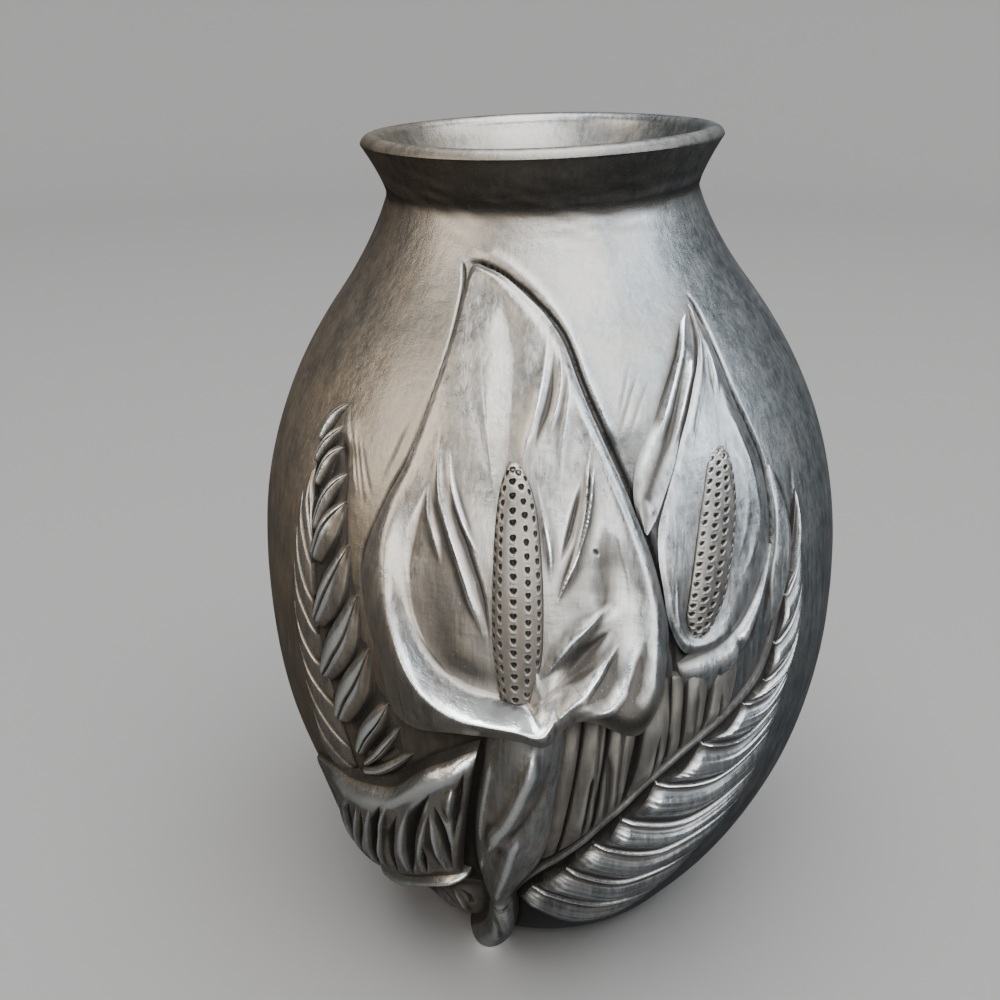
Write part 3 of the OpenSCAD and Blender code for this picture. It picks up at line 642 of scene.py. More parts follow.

# the large lily's spathe: edge, crest, crease and floor of each spoke, from its tip round by the left,
# places of painted shade by their middle, width, height and darkness, and tool marks as on the wall
largeSpathe = {
    "cage": [
        [[-22.4, 95.7, 0.5], [-21, 94.8, 1.2], [-19.5, 92.6, 0.9], [-14, 83, 0.7]],
        [[-23.5, 92.5, 0.6], [-22.2, 91.7, 1.0], [-20.5, 90, 0.9], [-14, 81, 0.6]],
        [[-24, 88.5, 0.6], [-22.6, 88, 1.0], [-20.5, 86, 1.0], [-14, 79, 0.6]],
        [[-25.6, 83, 0.7], [-24.1, 82.5, 1.1], [-21.5, 81.5, 1.1], [-14, 77, 0.6]],
        [[-28, 77.8, 0.8], [-26.2, 77.3, 1.4], [-23, 76.8, 1.2], [-14, 74.5, 0.6]],
        [[-30.9, 74, 0.9], [-28.8, 73, 2.0], [-25, 72.5, 1.3], [-14, 72, 0.5]],
        [[-33.3, 70.2, 0.9], [-29.5, 69.5, 2.8], [-26, 69.5, 1.2], [-14, 69.5, 0.3]],
        [[-34.6, 66.4, 1.0], [-28.6, 66, 3.8], [-25.3, 65.6, 0.8], [-14, 67, 0.1]],
        [[-34.1, 63.2, 1.1], [-27.3, 63, 4.8], [-24.6, 62.8, 0.5], [-13.5, 65, 0]],
        [[-33, 60.2, 1.2], [-25.8, 60.8, 5.8], [-23.3, 60.5, 0.3], [-13, 63, -0.1]],
        [[-31.4, 57.4, 1.3], [-24.3, 58.7, 6.6], [-21.8, 58.7, 0.2], [-12.5, 61.5, -0.2]],
        [[-30.1, 54.2, 1.6], [-22.6, 56.9, 7.2], [-20, 57.2, 0.2], [-12, 60.5, -0.2]],
        [[-28.6, 51.2, 2.2], [-20.4, 55.4, 7.9], [-17.8, 56.1, 0.2], [-11, 60, -0.2]],
        [[-25.8, 49.9, 3.4], [-17.6, 54.3, 8.5], [-15.5, 55.2, 0.3], [-10, 59.5, -0.1]],
        [[-22, 49.9, 4.6], [-14.6, 53.6, 8.9], [-13, 54.7, 0.3], [-9, 59, 0]],
        [[-17, 50.7, 5.6], [-11.6, 53.4, 9.1], [-10.5, 54.3, 0.4], [-8, 58.7, 0.2]],
        [[-12, 51, 6], [-9, 53.2, 9.1], [-8.5, 54, 0.6], [-7.5, 58.5, 0.4]],
        [[-7.5, 50.8, 6], [-6.3, 52.8, 8.9], [-6.5, 53.9, 1], [-7, 58.5, 0.5]],
        [[-4, 49.9, 5.5], [-4.2, 52, 8.2], [-4.8, 53.8, 2], [-6, 58.5, 0.5]],
        [[-2.2, 50, 5.2], [-2.7, 51.9, 7.4], [-3.3, 54.5, 3.2], [-5.2, 58.7, 0.5]],
        [[-0.5, 51.2, 4.6], [-1.2, 52.9, 6.2], [-2.2, 55, 3.2], [-4.5, 59, 0.5]],
        [[1.5, 52.5, 4.5], [1, 53.8, 5.4], [-0.5, 56, 3], [-4, 59.7, 0.5]],
        [[4.5, 52.6, 5], [4, 54.2, 6], [2, 57, 2.8], [-3.3, 60.5, 0.5]],
        [[7.5, 51.5, 5], [7, 54, 6.8], [4.5, 58, 2.4], [-2.5, 61.5, 0.5]],
        [[10, 50.4, 4.5], [9.8, 53.5, 7.4], [7, 59, 2], [-2, 63, 0.5]],
        [[12.5, 50.5, 4], [12, 54.3, 7.4], [9, 60.5, 1.6], [-1.5, 64.5, 0.5]],
        [[15, 52.8, 3], [13.6, 56, 6.2], [10.3, 62, 1.4], [-1, 66, 0.5]],
        [[16.6, 56.5, 2], [14.3, 58.8, 4.8], [11, 64, 1.2], [-0.5, 67.5, 0.5]],
        [[17.3, 61, 1.4], [14.8, 62.5, 3.6], [11, 66.5, 1.1], [0, 69, 0.5]],
        [[16.6, 64.5, 1.2], [14.4, 65.5, 3], [10.3, 69, 1.1], [0, 71, 0.5]],
        [[15.4, 68.5, 1], [13.3, 69, 2.6], [9.3, 72, 1.1], [-1, 73, 0.5]],
        [[13.7, 72, 1], [11.7, 72.5, 2.2], [8, 75, 1], [-2, 75, 0.5]],
        [[11.5, 76, 0.9], [9.6, 76.3, 1.8], [6.3, 78, 1], [-3.5, 77, 0.5]],
        [[8.6, 80.3, 0.8], [6.8, 80.4, 1.6], [3.8, 81.3, 1], [-5, 79, 0.5]],
        [[5.4, 84.8, 0.7], [3.7, 84.7, 1.4], [1, 84.8, 1], [-7, 81, 0.5]],
        [[2.6, 88.7, 0.6], [0.8, 88.2, 1.3], [-2, 87.5, 1], [-9, 82.5, 0.5]],
        [[-1, 91.1, 0.6], [-3, 90.4, 1.3], [-6, 89.5, 0.9], [-11, 83.5, 0.5]],
        [[-6, 93, 0.6], [-8, 92.3, 1.3], [-10.5, 91.3, 0.9], [-12.5, 84, 0.6]],
        [[-12, 94.7, 0.6], [-13.5, 94.1, 1.3], [-14.5, 92.5, 0.9], [-13.5, 84, 0.7]],
        [[-17.5, 95.6, 0.5], [-17.5, 94.9, 1.3], [-17.5, 93, 0.9], [-14, 83.8, 0.7]],
    ],
    "heart": [-8, 68, 0.3],
    "shaded": [(-18, 64, 6, 7, 0.45), (-19, 60, 3, 3, 0.3), (-16, 57.6, 4, 1.6, 0.4),
               (-12.5, 56.4, 4, 1.4, 0.45), (3, 66, 4, 5, 0.3), (7.4, 68, 3.4, 5, 0.22),
               (3, 58.6, 4, 2.2, 0.5), (10.5, 54, 4.5, 3.4, 0.8), (7, 60.6, 3, 2, 0.35),
               (-13, 86, 9, 8, 0.14), (0, 84, 5, 6, 0.14), (-21, 68, 3, 5, 0.25)],
    "spans": [14, 20, 60, 40],
    "columns": 640,
    "marks": [
        # the petal's soft valley and the pleats right of it
        (-0.6, 3, 3.4, [[-12.8, 93.6], [-10.6, 90.6], [-9, 88], [-8.6, 85], [-8.8, 82], [-9.2, 78],
                        [-9.6, 74]]),
        (0.7, 1.0, 1.4, [[-1, 90], [-1.8, 87], [-2.8, 84.6], [-4, 82.4], [-5.6, 80], [-6.2, 78]]),
        (-0.45, 0.6, 0.5, [[0.2, 89], [-0.4, 86], [-1.5, 83.5], [-3, 81.4], [-4.4, 79]]),
        (0.5, 0.4, 0.8, [[1.6, 89], [1.6, 86], [0.7, 83.6], [-0.6, 81.8], [-1.6, 79.8]]),
        (0.5, 0.9, 0.9, [[3, 87.4], [2.9, 84.8], [2, 82], [1, 79.5], [0.6, 76.6]]),
        # the folded tongue left of the spadix
        (0.8, 1.5, 0.8, [[-22, 81.4], [-21.3, 77.6], [-20.3, 74.6], [-19.3, 73], [-17.7, 70.6],
                         [-16, 67.8], [-14.5, 65], [-13.2, 62.6], [-12.4, 60.4]]),
        (0.9, 0.35, 1.6, [[-20, 80], [-18.9, 77.4], [-17.2, 74.6], [-15.9, 72.8], [-14.8, 71.3],
                          [-13.4, 69.6]]),
        (-0.7, 0.5, 1.4, [[-19.4, 77.4], [-18, 74.4], [-16, 71.4], [-14.5, 68.8], [-13, 66.2], [-12, 63.4],
                          [-11.4, 60]]),
        (0.6, 1.0, 0.9, [[-23, 76], [-22.2, 73.2], [-20.8, 70.6], [-19.6, 68]]),
        (-0.5, 1.3, 1.0, [[-22.8, 76.4], [-24.2, 72], [-25, 69], [-25.4, 66]]),
        # the sharp pleat and the ridge right of the spadix
        (0.9, 1.1, 0.35, [[6.4, 80.4], [5.4, 77.8], [4.9, 75], [3.8, 72], [2.2, 69], [0.4, 66.4],
                          [-0.9, 64.4]]),
        (0.7, 0.3, 0.3, [[6.9, 79], [6.1, 76.6], [5.2, 74], [4.1, 71.6], [2.8, 69.4]]),
        (-0.8, 0.3, 0.3, [[6.6, 80], [5.8, 77.6], [5.1, 75], [4, 72.2], [2.5, 69.4], [1, 67.2]]),
        (-0.7, 0.7, 0.5, [[4.2, 77], [3, 74.4], [1.6, 71.6], [0, 69]]),
        (0.7, 0.7, 0.9, [[-3.6, 76.6], [-2.2, 73], [-1.4, 70], [-1.4, 66.6]]),
        (-1.1, 2.8, 2.8, [[7.4, 73], [8, 69], [7.6, 65.4], [6, 62.6]]),
        (-0.4, 0.3, 0.3, [[5.6, 70.2], [6.1, 69.9], [6.5, 69.5]]),
        # the folds that run from the throat to the right
        (1.4, 2.0, 1.6, [[-3.4, 56.6], [-0.8, 58.8], [1.8, 61], [4.8, 62.8], [8.6, 64.8]]),
        (-1.1, 1.7, 1.5, [[-2, 55.6], [1.2, 57.4], [4.6, 59.8], [8, 62]]),
        (1.1, 1.6, 1.4, [[-1.4, 53], [1.2, 54.7], [4, 56.5], [6.6, 58.5], [9.2, 61]]),
        (-0.5, 0.9, 0.9, [[2.6, 54.4], [5, 56], [7.4, 58], [9.2, 60.4]]),
        (0.8, 1.3, 1.2, [[0.6, 52.2], [4.6, 53.8], [7.4, 55.1], [9.6, 57], [11.6, 60.2]]),
        (-0.6, 1.4, 1.4, [[9.4, 55], [11.4, 57.4], [12.8, 61]]),
        # the lip's end, its throat and the smoothing lines on it
        (-0.4, 0.6, 0.6, [[-1, 54.6], [-1, 52.6], [-1.4, 50.6]]),
        (-0.16, 0.22, 0.22, [[-25.4, 63.5], [-24, 61], [-22.4, 59.2], [-20.4, 57.5], [-18, 56.2],
                             [-14, 55.4]]),
        (-0.14, 0.22, 0.22, [[-25, 61.6], [-23.2, 59.2], [-21.2, 57.4], [-18.6, 55.7], [-14.6, 54.8]]),
        (-0.12, 0.2, 0.2, [[-24, 59.4], [-22, 57.2], [-19.4, 55.4], [-16.4, 54.3], [-12, 53.6]]),
    ],
}


def spathe(name, values, tuck):
    deg, pct, rise = ringLoft(values["cage"], values["heart"], values["spans"], values["columns"])
    # thumb-smoothed inside the crest
    edge, slope = values["spans"][:2]
    smooth = ease(np.arange(len(rise)), edge, edge + slope)[:, None]
    rise = rise + smooth * (soften(rise, 16, True) - rise)
    lines = carve(deg, pct, values["marks"], 12, 0.2)
    # painted highlight on the lip's ledge, painted shade in the hollows
    row = np.arange(len(rise))[:, None]
    tone = ease(row, edge - 4, edge + 4) * ease(edge + slope - row, 0, 8)
    tone = tone * (ease(rise[edge], 3, 7) * ease(1 - deg[edge], 0, 4))[None]
    for atDeg, atPct, wide, tall, dark in values["shaded"]:
        tone = tone - dark * np.exp(-((deg - atDeg) / wide) ** 2 - ((pct - atPct) / tall) ** 2)
    rise = rise + lines + 0.12 * handWave(deg * 0.5, pct * 0.5, 21)
    return claySheet(name, deg, pct, rise, wrap=True, tuck=tuck, deep=0.2, lines=lines, tone=tone)


place(spathe("largeSpathe", largeSpathe, 4), "carvedClay", "large_petal", "large_lip", "large_lobe")
print("large spathe modelled")

smallSpathe = {
    "cage": [
        [[38.4, 91.2, -0.4], [37.9, 90, 0.5], [36.8, 87.8, 0.8], [33, 80.5, 0.6]],
        [[36, 88.2, 0.5], [35.6, 87.3, 1], [34.8, 85.8, 0.8], [31.8, 80, 0.6]],
        [[33, 85.8, 0.5], [32.8, 84.9, 1], [32.2, 83.4, 0.8], [30.5, 79.3, 0.6]],
        [[30, 83.9, 0.5], [30, 83, 1], [29.8, 81.7, 0.8], [29, 78.5, 0.6]],
        [[27, 81.7, 0.5], [27.2, 80.8, 1], [27.2, 79.6, 0.7], [27.5, 77, 0.5]],
        [[24, 79.3, 0.3], [24.6, 78.6, 0.6], [25.2, 77.4, 0.6], [26.3, 75, 0.5]],
        [[21.6, 76.8, 0.2], [22.4, 76, 0.5], [23.4, 75, 0.5], [25, 73, 0.4]],
        [[19, 74, 0.2], [20, 73.5, 0.5], [21.6, 72.7, 0.5], [24, 71, 0.4]],
        [[17.2, 71.5, 0.2], [18.4, 71, 0.5], [20.4, 70.5, 0.4], [23, 68.8, 0.3]],
        [[16.7, 68.5, 0.2], [17.8, 68, 0.5], [19.6, 67.6, 0.4], [22.2, 66.5, 0.3]],
        [[17.2, 65, 0.2], [18.2, 64.8, 0.6], [19.5, 64.6, 0.4], [21.6, 64, 0.3]],
        [[17.7, 62, 0.3], [18.6, 62, 0.8], [19.8, 62, 0.4], [21.4, 62, 0.2]],
        [[18.9, 59.5, 0.4], [19.6, 60, 1.1], [20.5, 60.5, 0.5], [21.8, 60.7, 0.2]],
        [[20.4, 57.9, 1.1], [21, 58.8, 1.7], [21.7, 59.5, 0.6], [22.6, 59.9, 0.3]],
        [[23.2, 57.6, 1.1], [23.5, 58.4, 1.7], [23.9, 59.2, 0.8], [24, 59.8, 0.4]],
        [[27, 57.9, 1.1], [27, 58.8, 1.6], [26.9, 59.8, 1], [26, 60.6, 0.5]],
        [[30.3, 58.8, 0.6], [30, 59.9, 1.1], [29.3, 61, 1], [27.7, 61.8, 0.5]],
        [[33.4, 60.5, 0.2], [32.9, 61.7, 0.6], [31.7, 62.9, 1], [29.2, 63.8, 0.5]],
        [[36.3, 62.8, 0], [35.4, 64.2, 0.4], [33.8, 65.3, 1], [30.5, 66, 0.5]],
        [[38.9, 65.2, -0.2], [37.5, 66.8, 0.3], [35.5, 67.8, 1], [31.7, 68.5, 0.5]],
        [[40.6, 68.4, -0.2], [39.1, 69.6, 0.3], [36.7, 70.3, 0.9], [32.8, 71.3, 0.5]],
        [[41.4, 71.7, -0.2], [39.8, 72.4, 0.3], [37.4, 72.9, 0.9], [33.6, 73.8, 0.5]],
        [[41.6, 75, -0.2], [39.9, 75.3, 0.3], [37.3, 75.5, 0.9], [34, 76, 0.5]],
        [[40.8, 78.5, -0.2], [39.2, 78.5, 0.3], [36.8, 78.3, 0.9], [34.2, 77.8, 0.5]],
        [[39.7, 82, -0.2], [38.3, 81.8, 0.3], [36.5, 81.3, 0.8], [34.3, 79.3, 0.6]],
        [[39.7, 85.5, -0.2], [38.4, 85, 0.3], [36.6, 84, 0.8], [34, 80.4, 0.6]],
        [[39.7, 88.8, -0.2], [38.5, 88, 0.3], [36.8, 86.3, 0.8], [33.6, 80.8, 0.6]],
    ],
    "heart": [28.5, 69, 0.3],
    "shaded": [(33.4, 82, 2.4, 4, 0.25), (22, 63, 2, 3, 0.25), (24, 70, 2, 6, 0.12)],
    "spans": [10, 12, 30, 20],
    "columns": 440,
    "marks": [
        (0.6, 1.5, 1.6, [[36.4, 81.4], [37.8, 77], [38.4, 73.4], [37.4, 70], [35.4, 67.2], [32, 64.4]]),
        (-0.25, 0.4, 0.4, [[37, 79.8], [37.9, 77.4], [38.4, 75], [38.2, 72], [37.2, 69.4]]),
        (0.2, 1.0, 1.0, [[34.6, 78], [35.8, 75], [35.6, 72], [33.8, 69], [31.2, 66]]),
        (0.3, 0.5, 0.5, [[19.6, 66], [19.4, 63], [19.8, 60.8], [21, 59.4]]),
        (-0.4, 0.4, 0.4, [[21.6, 77.6], [20, 75.8], [18.8, 73.6]]),
        (0.4, 0.7, 0.7, [[37.6, 88], [36.4, 85], [35.4, 82.4]]),
        (-0.3, 0.4, 0.4, [[36.8, 87], [35.4, 84.4], [34.4, 82.6]]),
    ],
}
place(spathe("smallSpathe", smallSpathe, 3), "carvedClay", "small_petal")

smallWing = {
    "outer": [[37.8, 91.2], [33, 89.5], [28.5, 87], [24.5, 84.8], [20.6, 82.4], [17, 80], [14.4, 77.6],
              [13.4, 74.6], [14.4, 71.4]],
    "inner": [[37.4, 90.2], [33.6, 87], [30, 84.8], [26.5, 82.4], [23.9, 79.8], [21.7, 77.2], [19, 74.6],
              [16.8, 72.4], [15, 71]],
    "mesh": (150, 26),
    "marks": [
        (0.9, 1.0, 1.0, [[37, 90.8], [33, 89], [29, 86.8], [25.4, 84.6], [22.4, 82.4], [19.6, 79.6]]),
        (-0.4, 0.5, 0.5, [[32, 87.6], [29, 85.8], [26, 83.8], [23.4, 81.6], [20.6, 78.8]]),
        (0.9, 0.8, 0.8, [[32.5, 86.6], [29.5, 84.9], [26.4, 82.8], [23.6, 80.4], [21.4, 78]]),
        (-0.9, 1.7, 1.7, [[25, 82], [21.4, 79.4], [18.4, 77], [16.2, 74.8], [15.2, 72.6]]),
        (0.7, 0.8, 0.8, [[15.4, 74.6], [15.8, 73.6], [16.4, 72.6]]),
    ],
}


def wing(values):
    deg, pct, u, v = strip(values["outer"], values["inner"], values["mesh"])
    rise = 0.9 * ease(v, -0.1, 0.5) + np.maximum(carve(deg, pct, values["marks"]), -1)
    worn = ease(u, 0, 0.25) * (1 - 0.62 * ease(u, 0.35, 0.75))
    rise = rise * worn - 0.3 * (1 - ease(u, 0, 0.25)) - 0.3 * (1 - ease(v, 0, 0.3))
    # painted shade down the middle of the flap
    hollowShade = np.exp(-((v - 0.5) / 0.28) ** 2) * ease(u, 0.3, 0.55)
    return claySheet("smallWing", deg, pct, rise, deep=0.3, tone=-0.55 * hollowShade)


place(wing(smallWing), "carvedClay", "small_wing")
print("small lily modelled")

# a spadix: its edges, heights in mm, columns of pits as share across and width, and how much painted shade
# darkens it, most towards its lower end
largeSpadix = {
    "left": [[-8.6, 78.6], [-9.8, 76.6], [-10.6, 73], [-10.9, 67], [-10.9, 61], [-10.4, 57], [-9.8, 53.2]],
    "right": [[-7, 78.6], [-5, 77], [-3.4, 73.6], [-2.6, 67], [-2.7, 61], [-3.2, 57], [-3.8, 53.2]],
    "height": 1.7, "tipHeight": 0.6, "mesh": (440, 96),
    "columns": [(0.05, 0.6), (0.17, 0.8), (0.43, 1.35), (0.71, 1.1), (0.91, 0.7)],
    "spacing": 2.6, "tall": 0.6, "depth": 0.8, "slant": 0.0, "shaded": 0.44,
}
smallSpadix = {
    "left": [[30.6, 78.2], [28.6, 76.8], [26, 73.4], [24.2, 70.4], [22.8, 67.2], [21.6, 64], [21, 61.4],
             [22.4, 58.8]],
    "right": [[32.8, 78.2], [33.8, 76.6], [33.4, 73.2], [32, 69.8], [30.3, 66.4], [28.6, 63.2],
              [26.4, 60.6], [24, 58.8]],
    "height": 1.2, "tipHeight": 0.5, "mesh": (360, 76),
    "columns": [(0.11, 1.3), (0.37, 1.5), (0.64, 1.3), (0.91, 0.8)],
    "spacing": 2.1, "tall": 0.56, "depth": 0.75, "slant": 0.3, "shaded": 0.16,
}


def spadix(name, values):
    # a flattened finger with rows of punched pits, deep at their upper edge
    deg, pct, _, v = strip(values["left"], values["right"], values["mesh"])
    v = v + 0 * deg
    centre = values["mesh"][1] // 2
    middle = skin(deg[:, centre], pct[:, centre])
    steps = np.linalg.norm(np.diff(middle, axis=0), axis=1)
    along = np.append(0, np.cumsum(steps))[:, None] + 0 * v
    across = np.linalg.norm(skin(deg[:, -1], pct[:, -1]) - skin(deg[:, 0], pct[:, 0]), axis=1)[:, None]
    u = along / along[-1]
    full = values["tipHeight"] + (values["height"] - values["tipHeight"]) * ease(u, 0, 0.12)
    rise = 0.2 + full * dome(v, 0.32) * (0.4 + 0.6 * ease(1 - u, 0, 0.03))
    inside = ease(along, 0.8, 1.6) * ease(along[-1] - along, 0.4, 1.2)
    pick = np.random.default_rng(17)
    for k, (spot, wide) in enumerate(values["columns"]):
        beat = along / values["spacing"] + 0.5 * (k % 2) + values["slant"] * v + pick.uniform(-0.1, 0.1)
        number = np.floor(beat).astype(int)
        jitter = pick.uniform(-1, 1, (number.max() + 2, 2))
        y = 0.5 - (beat - number) + 0.09 * jitter[number, 0]  # up is positive, within one pit
        # from 0 at a pit's lower point to 1 at its top
        high = np.clip((y + values["tall"] / 2) / values["tall"], 0, 1)
        half = 1.35 * wide * high * np.sqrt(1 - high) * (1 + 0.18 * jitter[number, 1]) + 0.02
        off = np.abs(v - spot) * across
        inPit = (high > 0) & (high < 1)
        pit = inPit * ease(high, 0, 0.6) * (1 - ease(high, 0.85, 1)) * (1 - ease(off, half * 0.3, half))
        lip = np.exp(-((y + values["tall"] * 0.62) / 0.08) ** 2) * (1 - ease(off, 0.2 * wide, 0.55 * wide))
        rise = rise - inside * values["depth"] * min(wide, 1.3) * pit + inside * 0.08 * lip
    # painted shade, darker towards the lower end
    return claySheet(name, deg, pct, rise - 0.5 * (1 - ease(along, 0, 1.2)), blur=10, sharp=0.55,
                     tone=-values["shaded"] * (0.4 + 0.6 * ease(u, 0, 0.7)))


place(spadix("largeSpadix", largeSpadix), "stippledClay", "large_spadix")
place(spadix("smallSpadix", smallSpadix), "stippledClay", "small_spadix")
print("spadices punched")

# a stalk: its edges, heights in mm, the share worn away at each end, tool marks,
# and the rows and columns of its mesh
largeTube = {
    "left": [[-12.4, 52], [-12.8, 48], [-13.6, 44], [-14.5, 40], [-15.2, 36], [-15.7, 32], [-16, 28],
             [-15.8, 24], [-15, 19.4]],
    "right": [[0.8, 52], [1.2, 48.4], [0.8, 44], [0.2, 39], [-0.3, 34], [-1.6, 30], [-3.6, 26],
              [-5.8, 23.4], [-8, 20.6]],
    "height": 6.2, "lowHeight": 5.0, "worn": (0.001, 0.01), "deep": 0.3, "mesh": (150, 56),
    "marks": [
        (1.5, 2.0, 1.0, [[-4.2, 50], [-5, 46], [-6.1, 43.4], [-7.5, 40.3], [-9, 37.6], [-10.9, 35],
                         [-12.2, 31]]),
        (-0.8, 2.2, 2.0, [[-2, 47], [-3.2, 42], [-5, 39.4], [-6.8, 36.8], [-8.6, 33.6]]),
        (1.0, 1.4, 1.6, [[-6, 37.6], [-7.6, 33.6], [-8.6, 30.2], [-9.7, 27], [-10.9, 24], [-12, 19.6]]),
        (-0.35, 1.3, 1.3, [[-9.4, 35], [-10.6, 30.4], [-11.6, 26.6], [-12.8, 22]]),
        (0.8, 0.9, 1.2, [[-11, 47], [-12.2, 41.6], [-13.2, 37], [-14, 31]]),
    ],
}
largeStem = {
    "left": [[-13.8, 21], [-15, 16.6], [-16.8, 12], [-20, 8], [-25, 4.4], [-28, 2.4], [-28, 0.8]],
    "right": [[-9, 21.4], [-8.2, 17], [-8.4, 12.6], [-9.2, 8.4], [-10.6, 4.6], [-11.6, 2.4], [-12.6, 0.8]],
    "height": 4.6, "lowHeight": 7.0, "worn": (0.01, 0.05), "fullness": 0.6, "mesh": (90, 40),
    "marks": [
        (-0.8, 0.5, 0.5, [[-14.4, 18.4], [-12.6, 17.4], [-10.8, 17.6], [-9, 19]]),
        (0.5, 0.8, 0.8, [[-10.4, 18], [-10, 13], [-10.6, 8.6], [-12.4, 3]]),
        (-0.4, 0.6, 0.6, [[-13, 16], [-12.8, 11], [-13.6, 6]]),
    ],
}


stalkDefaults = {"fullness": 0.75, "lean": 1.0, "wave": 31, "deep": 1.1, "tone": 0.0, "toneFade": (2, 3)}


def stalk(name, values):
    # a rounded stalk pressed on the wall, its ends worn away over a share of its length
    values = {**stalkDefaults, **values}
    deg, pct, u, v = strip(values["left"], values["right"], values["mesh"])
    high = values["height"] + (values["lowHeight"] - values["height"]) * u
    first, last = values["worn"]
    high = high * np.sqrt(ease(u, -0.01, first) * ease(1 - u, -0.01, last))
    rise = (high + 0.5) * dome(v ** values["lean"], values["fullness"]) - 0.5
    rise = rise + carve(deg, pct, values["marks"]) + 0.12 * handWave(deg * 0.5, pct * 0.5, values["wave"])
    # tone darkens the stalk from its first end, fading out along it; on the small cup this is painted shade
    tone = values["tone"] * (1 - ease(u, *values["toneFade"]))
    return claySheet(name, deg, pct, rise, deep=values["deep"], tone=tone)


place(stalk("largeTube", largeTube), "carvedClay", "large_tube")
place(stalk("largeStem", largeStem), "carvedClay", "large_stem")

smallCup = {
    "left": [[19.6, 54], [21, 51.8], [23.4, 50.6], [27, 50.8], [30.5, 52.6], [34, 56], [37, 60], [40.4, 66]],
    "right": [[19.4, 56.8], [21, 57.3], [23.4, 57.7], [27, 58], [30.5, 59], [33.6, 60.6], [36.6, 62.7],
              [40.2, 66.6]],
    "height": 2.4, "lowHeight": 1.6, "worn": (0.7, 0.5), "fullness": 1.1, "lean": 1.5, "wave": 33,
    # painted shade on the cup's left end
    "deep": 0.3, "tone": -0.5, "toneFade": (0.1, 0.6), "mesh": (90, 30),
    "marks": [
        (-0.4, 0.5, 0.5, [[26.7, 55.4], [26.7, 54], [26.6, 52]]),
        (-0.5, 1.0, 1.0, [[30.4, 58.4], [31.2, 56.6], [31.4, 54.6]]),
        (-0.4, 0.5, 0.5, [[22, 55], [21.8, 53.4], [21.6, 52]]),
    ],
}
place(stalk("smallCup", smallCup), "carvedClay", "small_cup")

# the bundled stalks: top left and right, low left and right
bundleStems = {
    "stems": [
        [[0.2, 53.4], [3.7, 53.6], [-3.2, 26.6], [-0.4, 28]],
        [[4.1, 54.4], [7.9, 54.8], [0, 28.4], [5.8, 32.8]],
        [[8.3, 54], [13.4, 54], [6.2, 33.2], [10.8, 37.3]],
        [[13.7, 55], [18.0, 55.4], [11.2, 37.8], [17.4, 42.7]],
        [[18.4, 55.6], [20.8, 55.6], [17.8, 43.2], [20.5, 44.6]],
        [[21, 57], [25.8, 57], [20.7, 44.8], [24.1, 46.4]],
        [[26, 57], [32, 57.6], [24.3, 46.6], [29.4, 48.4]],
    ],
    "slits": [
        (-1.4, 0.32, 0.32, [[5.4, 44], [4.9, 39.5], [4.2, 32]]),
        (-1.4, 0.32, 0.32, [[12.2, 46], [11.8, 42], [11.4, 37.6]]),
        (-0.9, 0.7, 0.7, [[7.7, 47], [8.1, 41], [8, 35]]),
        (-1.2, 0.3, 0.3, [[16.2, 49], [15.8, 45], [15.4, 41.6]]),
        (-1.3, 0.3, 0.3, [[18.1, 48.6], [18.1, 43.6]]),
        (-1.3, 0.32, 0.32, [[26.1, 54], [25.2, 50], [24.4, 46]]),
        (-1.1, 0.3, 0.3, [[27.8, 52], [27.6, 47]]),
        (-0.5, 0.5, 0.5, [[10.1, 52], [9.7, 43], [9.9, 37]]),
        (-0.5, 0.5, 0.5, [[22.9, 54], [22.6, 46]]),
        (-0.4, 0.5, 0.5, [[6.4, 52], [6, 44], [6, 36]]),
    ],
    "heights": [2.2, 2.0, 1.9, 2.0, 1.0, 1.6, 1.3],
    "mesh": (80, 26),
}


def bundleStem(k, values):
    topLeft, topRight, lowLeft, lowRight = [np.array(p, float) for p in values["stems"][k]]
    sway = np.array([0.35 * sin(2.2 * k + 1), 0])
    left = [topLeft, (topLeft + lowLeft) / 2 + sway, lowLeft]
    right = [topRight, (topRight + lowRight) / 2 + sway, lowRight]
    deg, pct, u, v = strip(left, right, values["mesh"])
    ends = (0.1 + 0.9 * ease(1 - u, 0, 0.3)) * ease(u, -0.05, 0.45)
    rise = (values["heights"][k] * ends + 0.3) * dome(v, 0.32) - 0.3 * (1 - ease(u, 0, 0.1))
    rise = rise - 0.8 * (1 - ease(1 - u, 0, 0.08)) - 0.2
    rise = rise + carve(deg, pct, values["slits"]) + 0.25 * handWave(deg * 0.9, pct * 0.45, 41 + k)
    # painted shade: every stem is darkened a little
    return claySheet(f"bundleStem{k + 1}", deg, pct, np.maximum(rise, -0.8), tone=-0.2)


for k in range(len(bundleStems["stems"])):
    place(bundleStem(k, bundleStems), "stippledClay", f"bundle_stem_{k + 1}")
print("stalks laid")

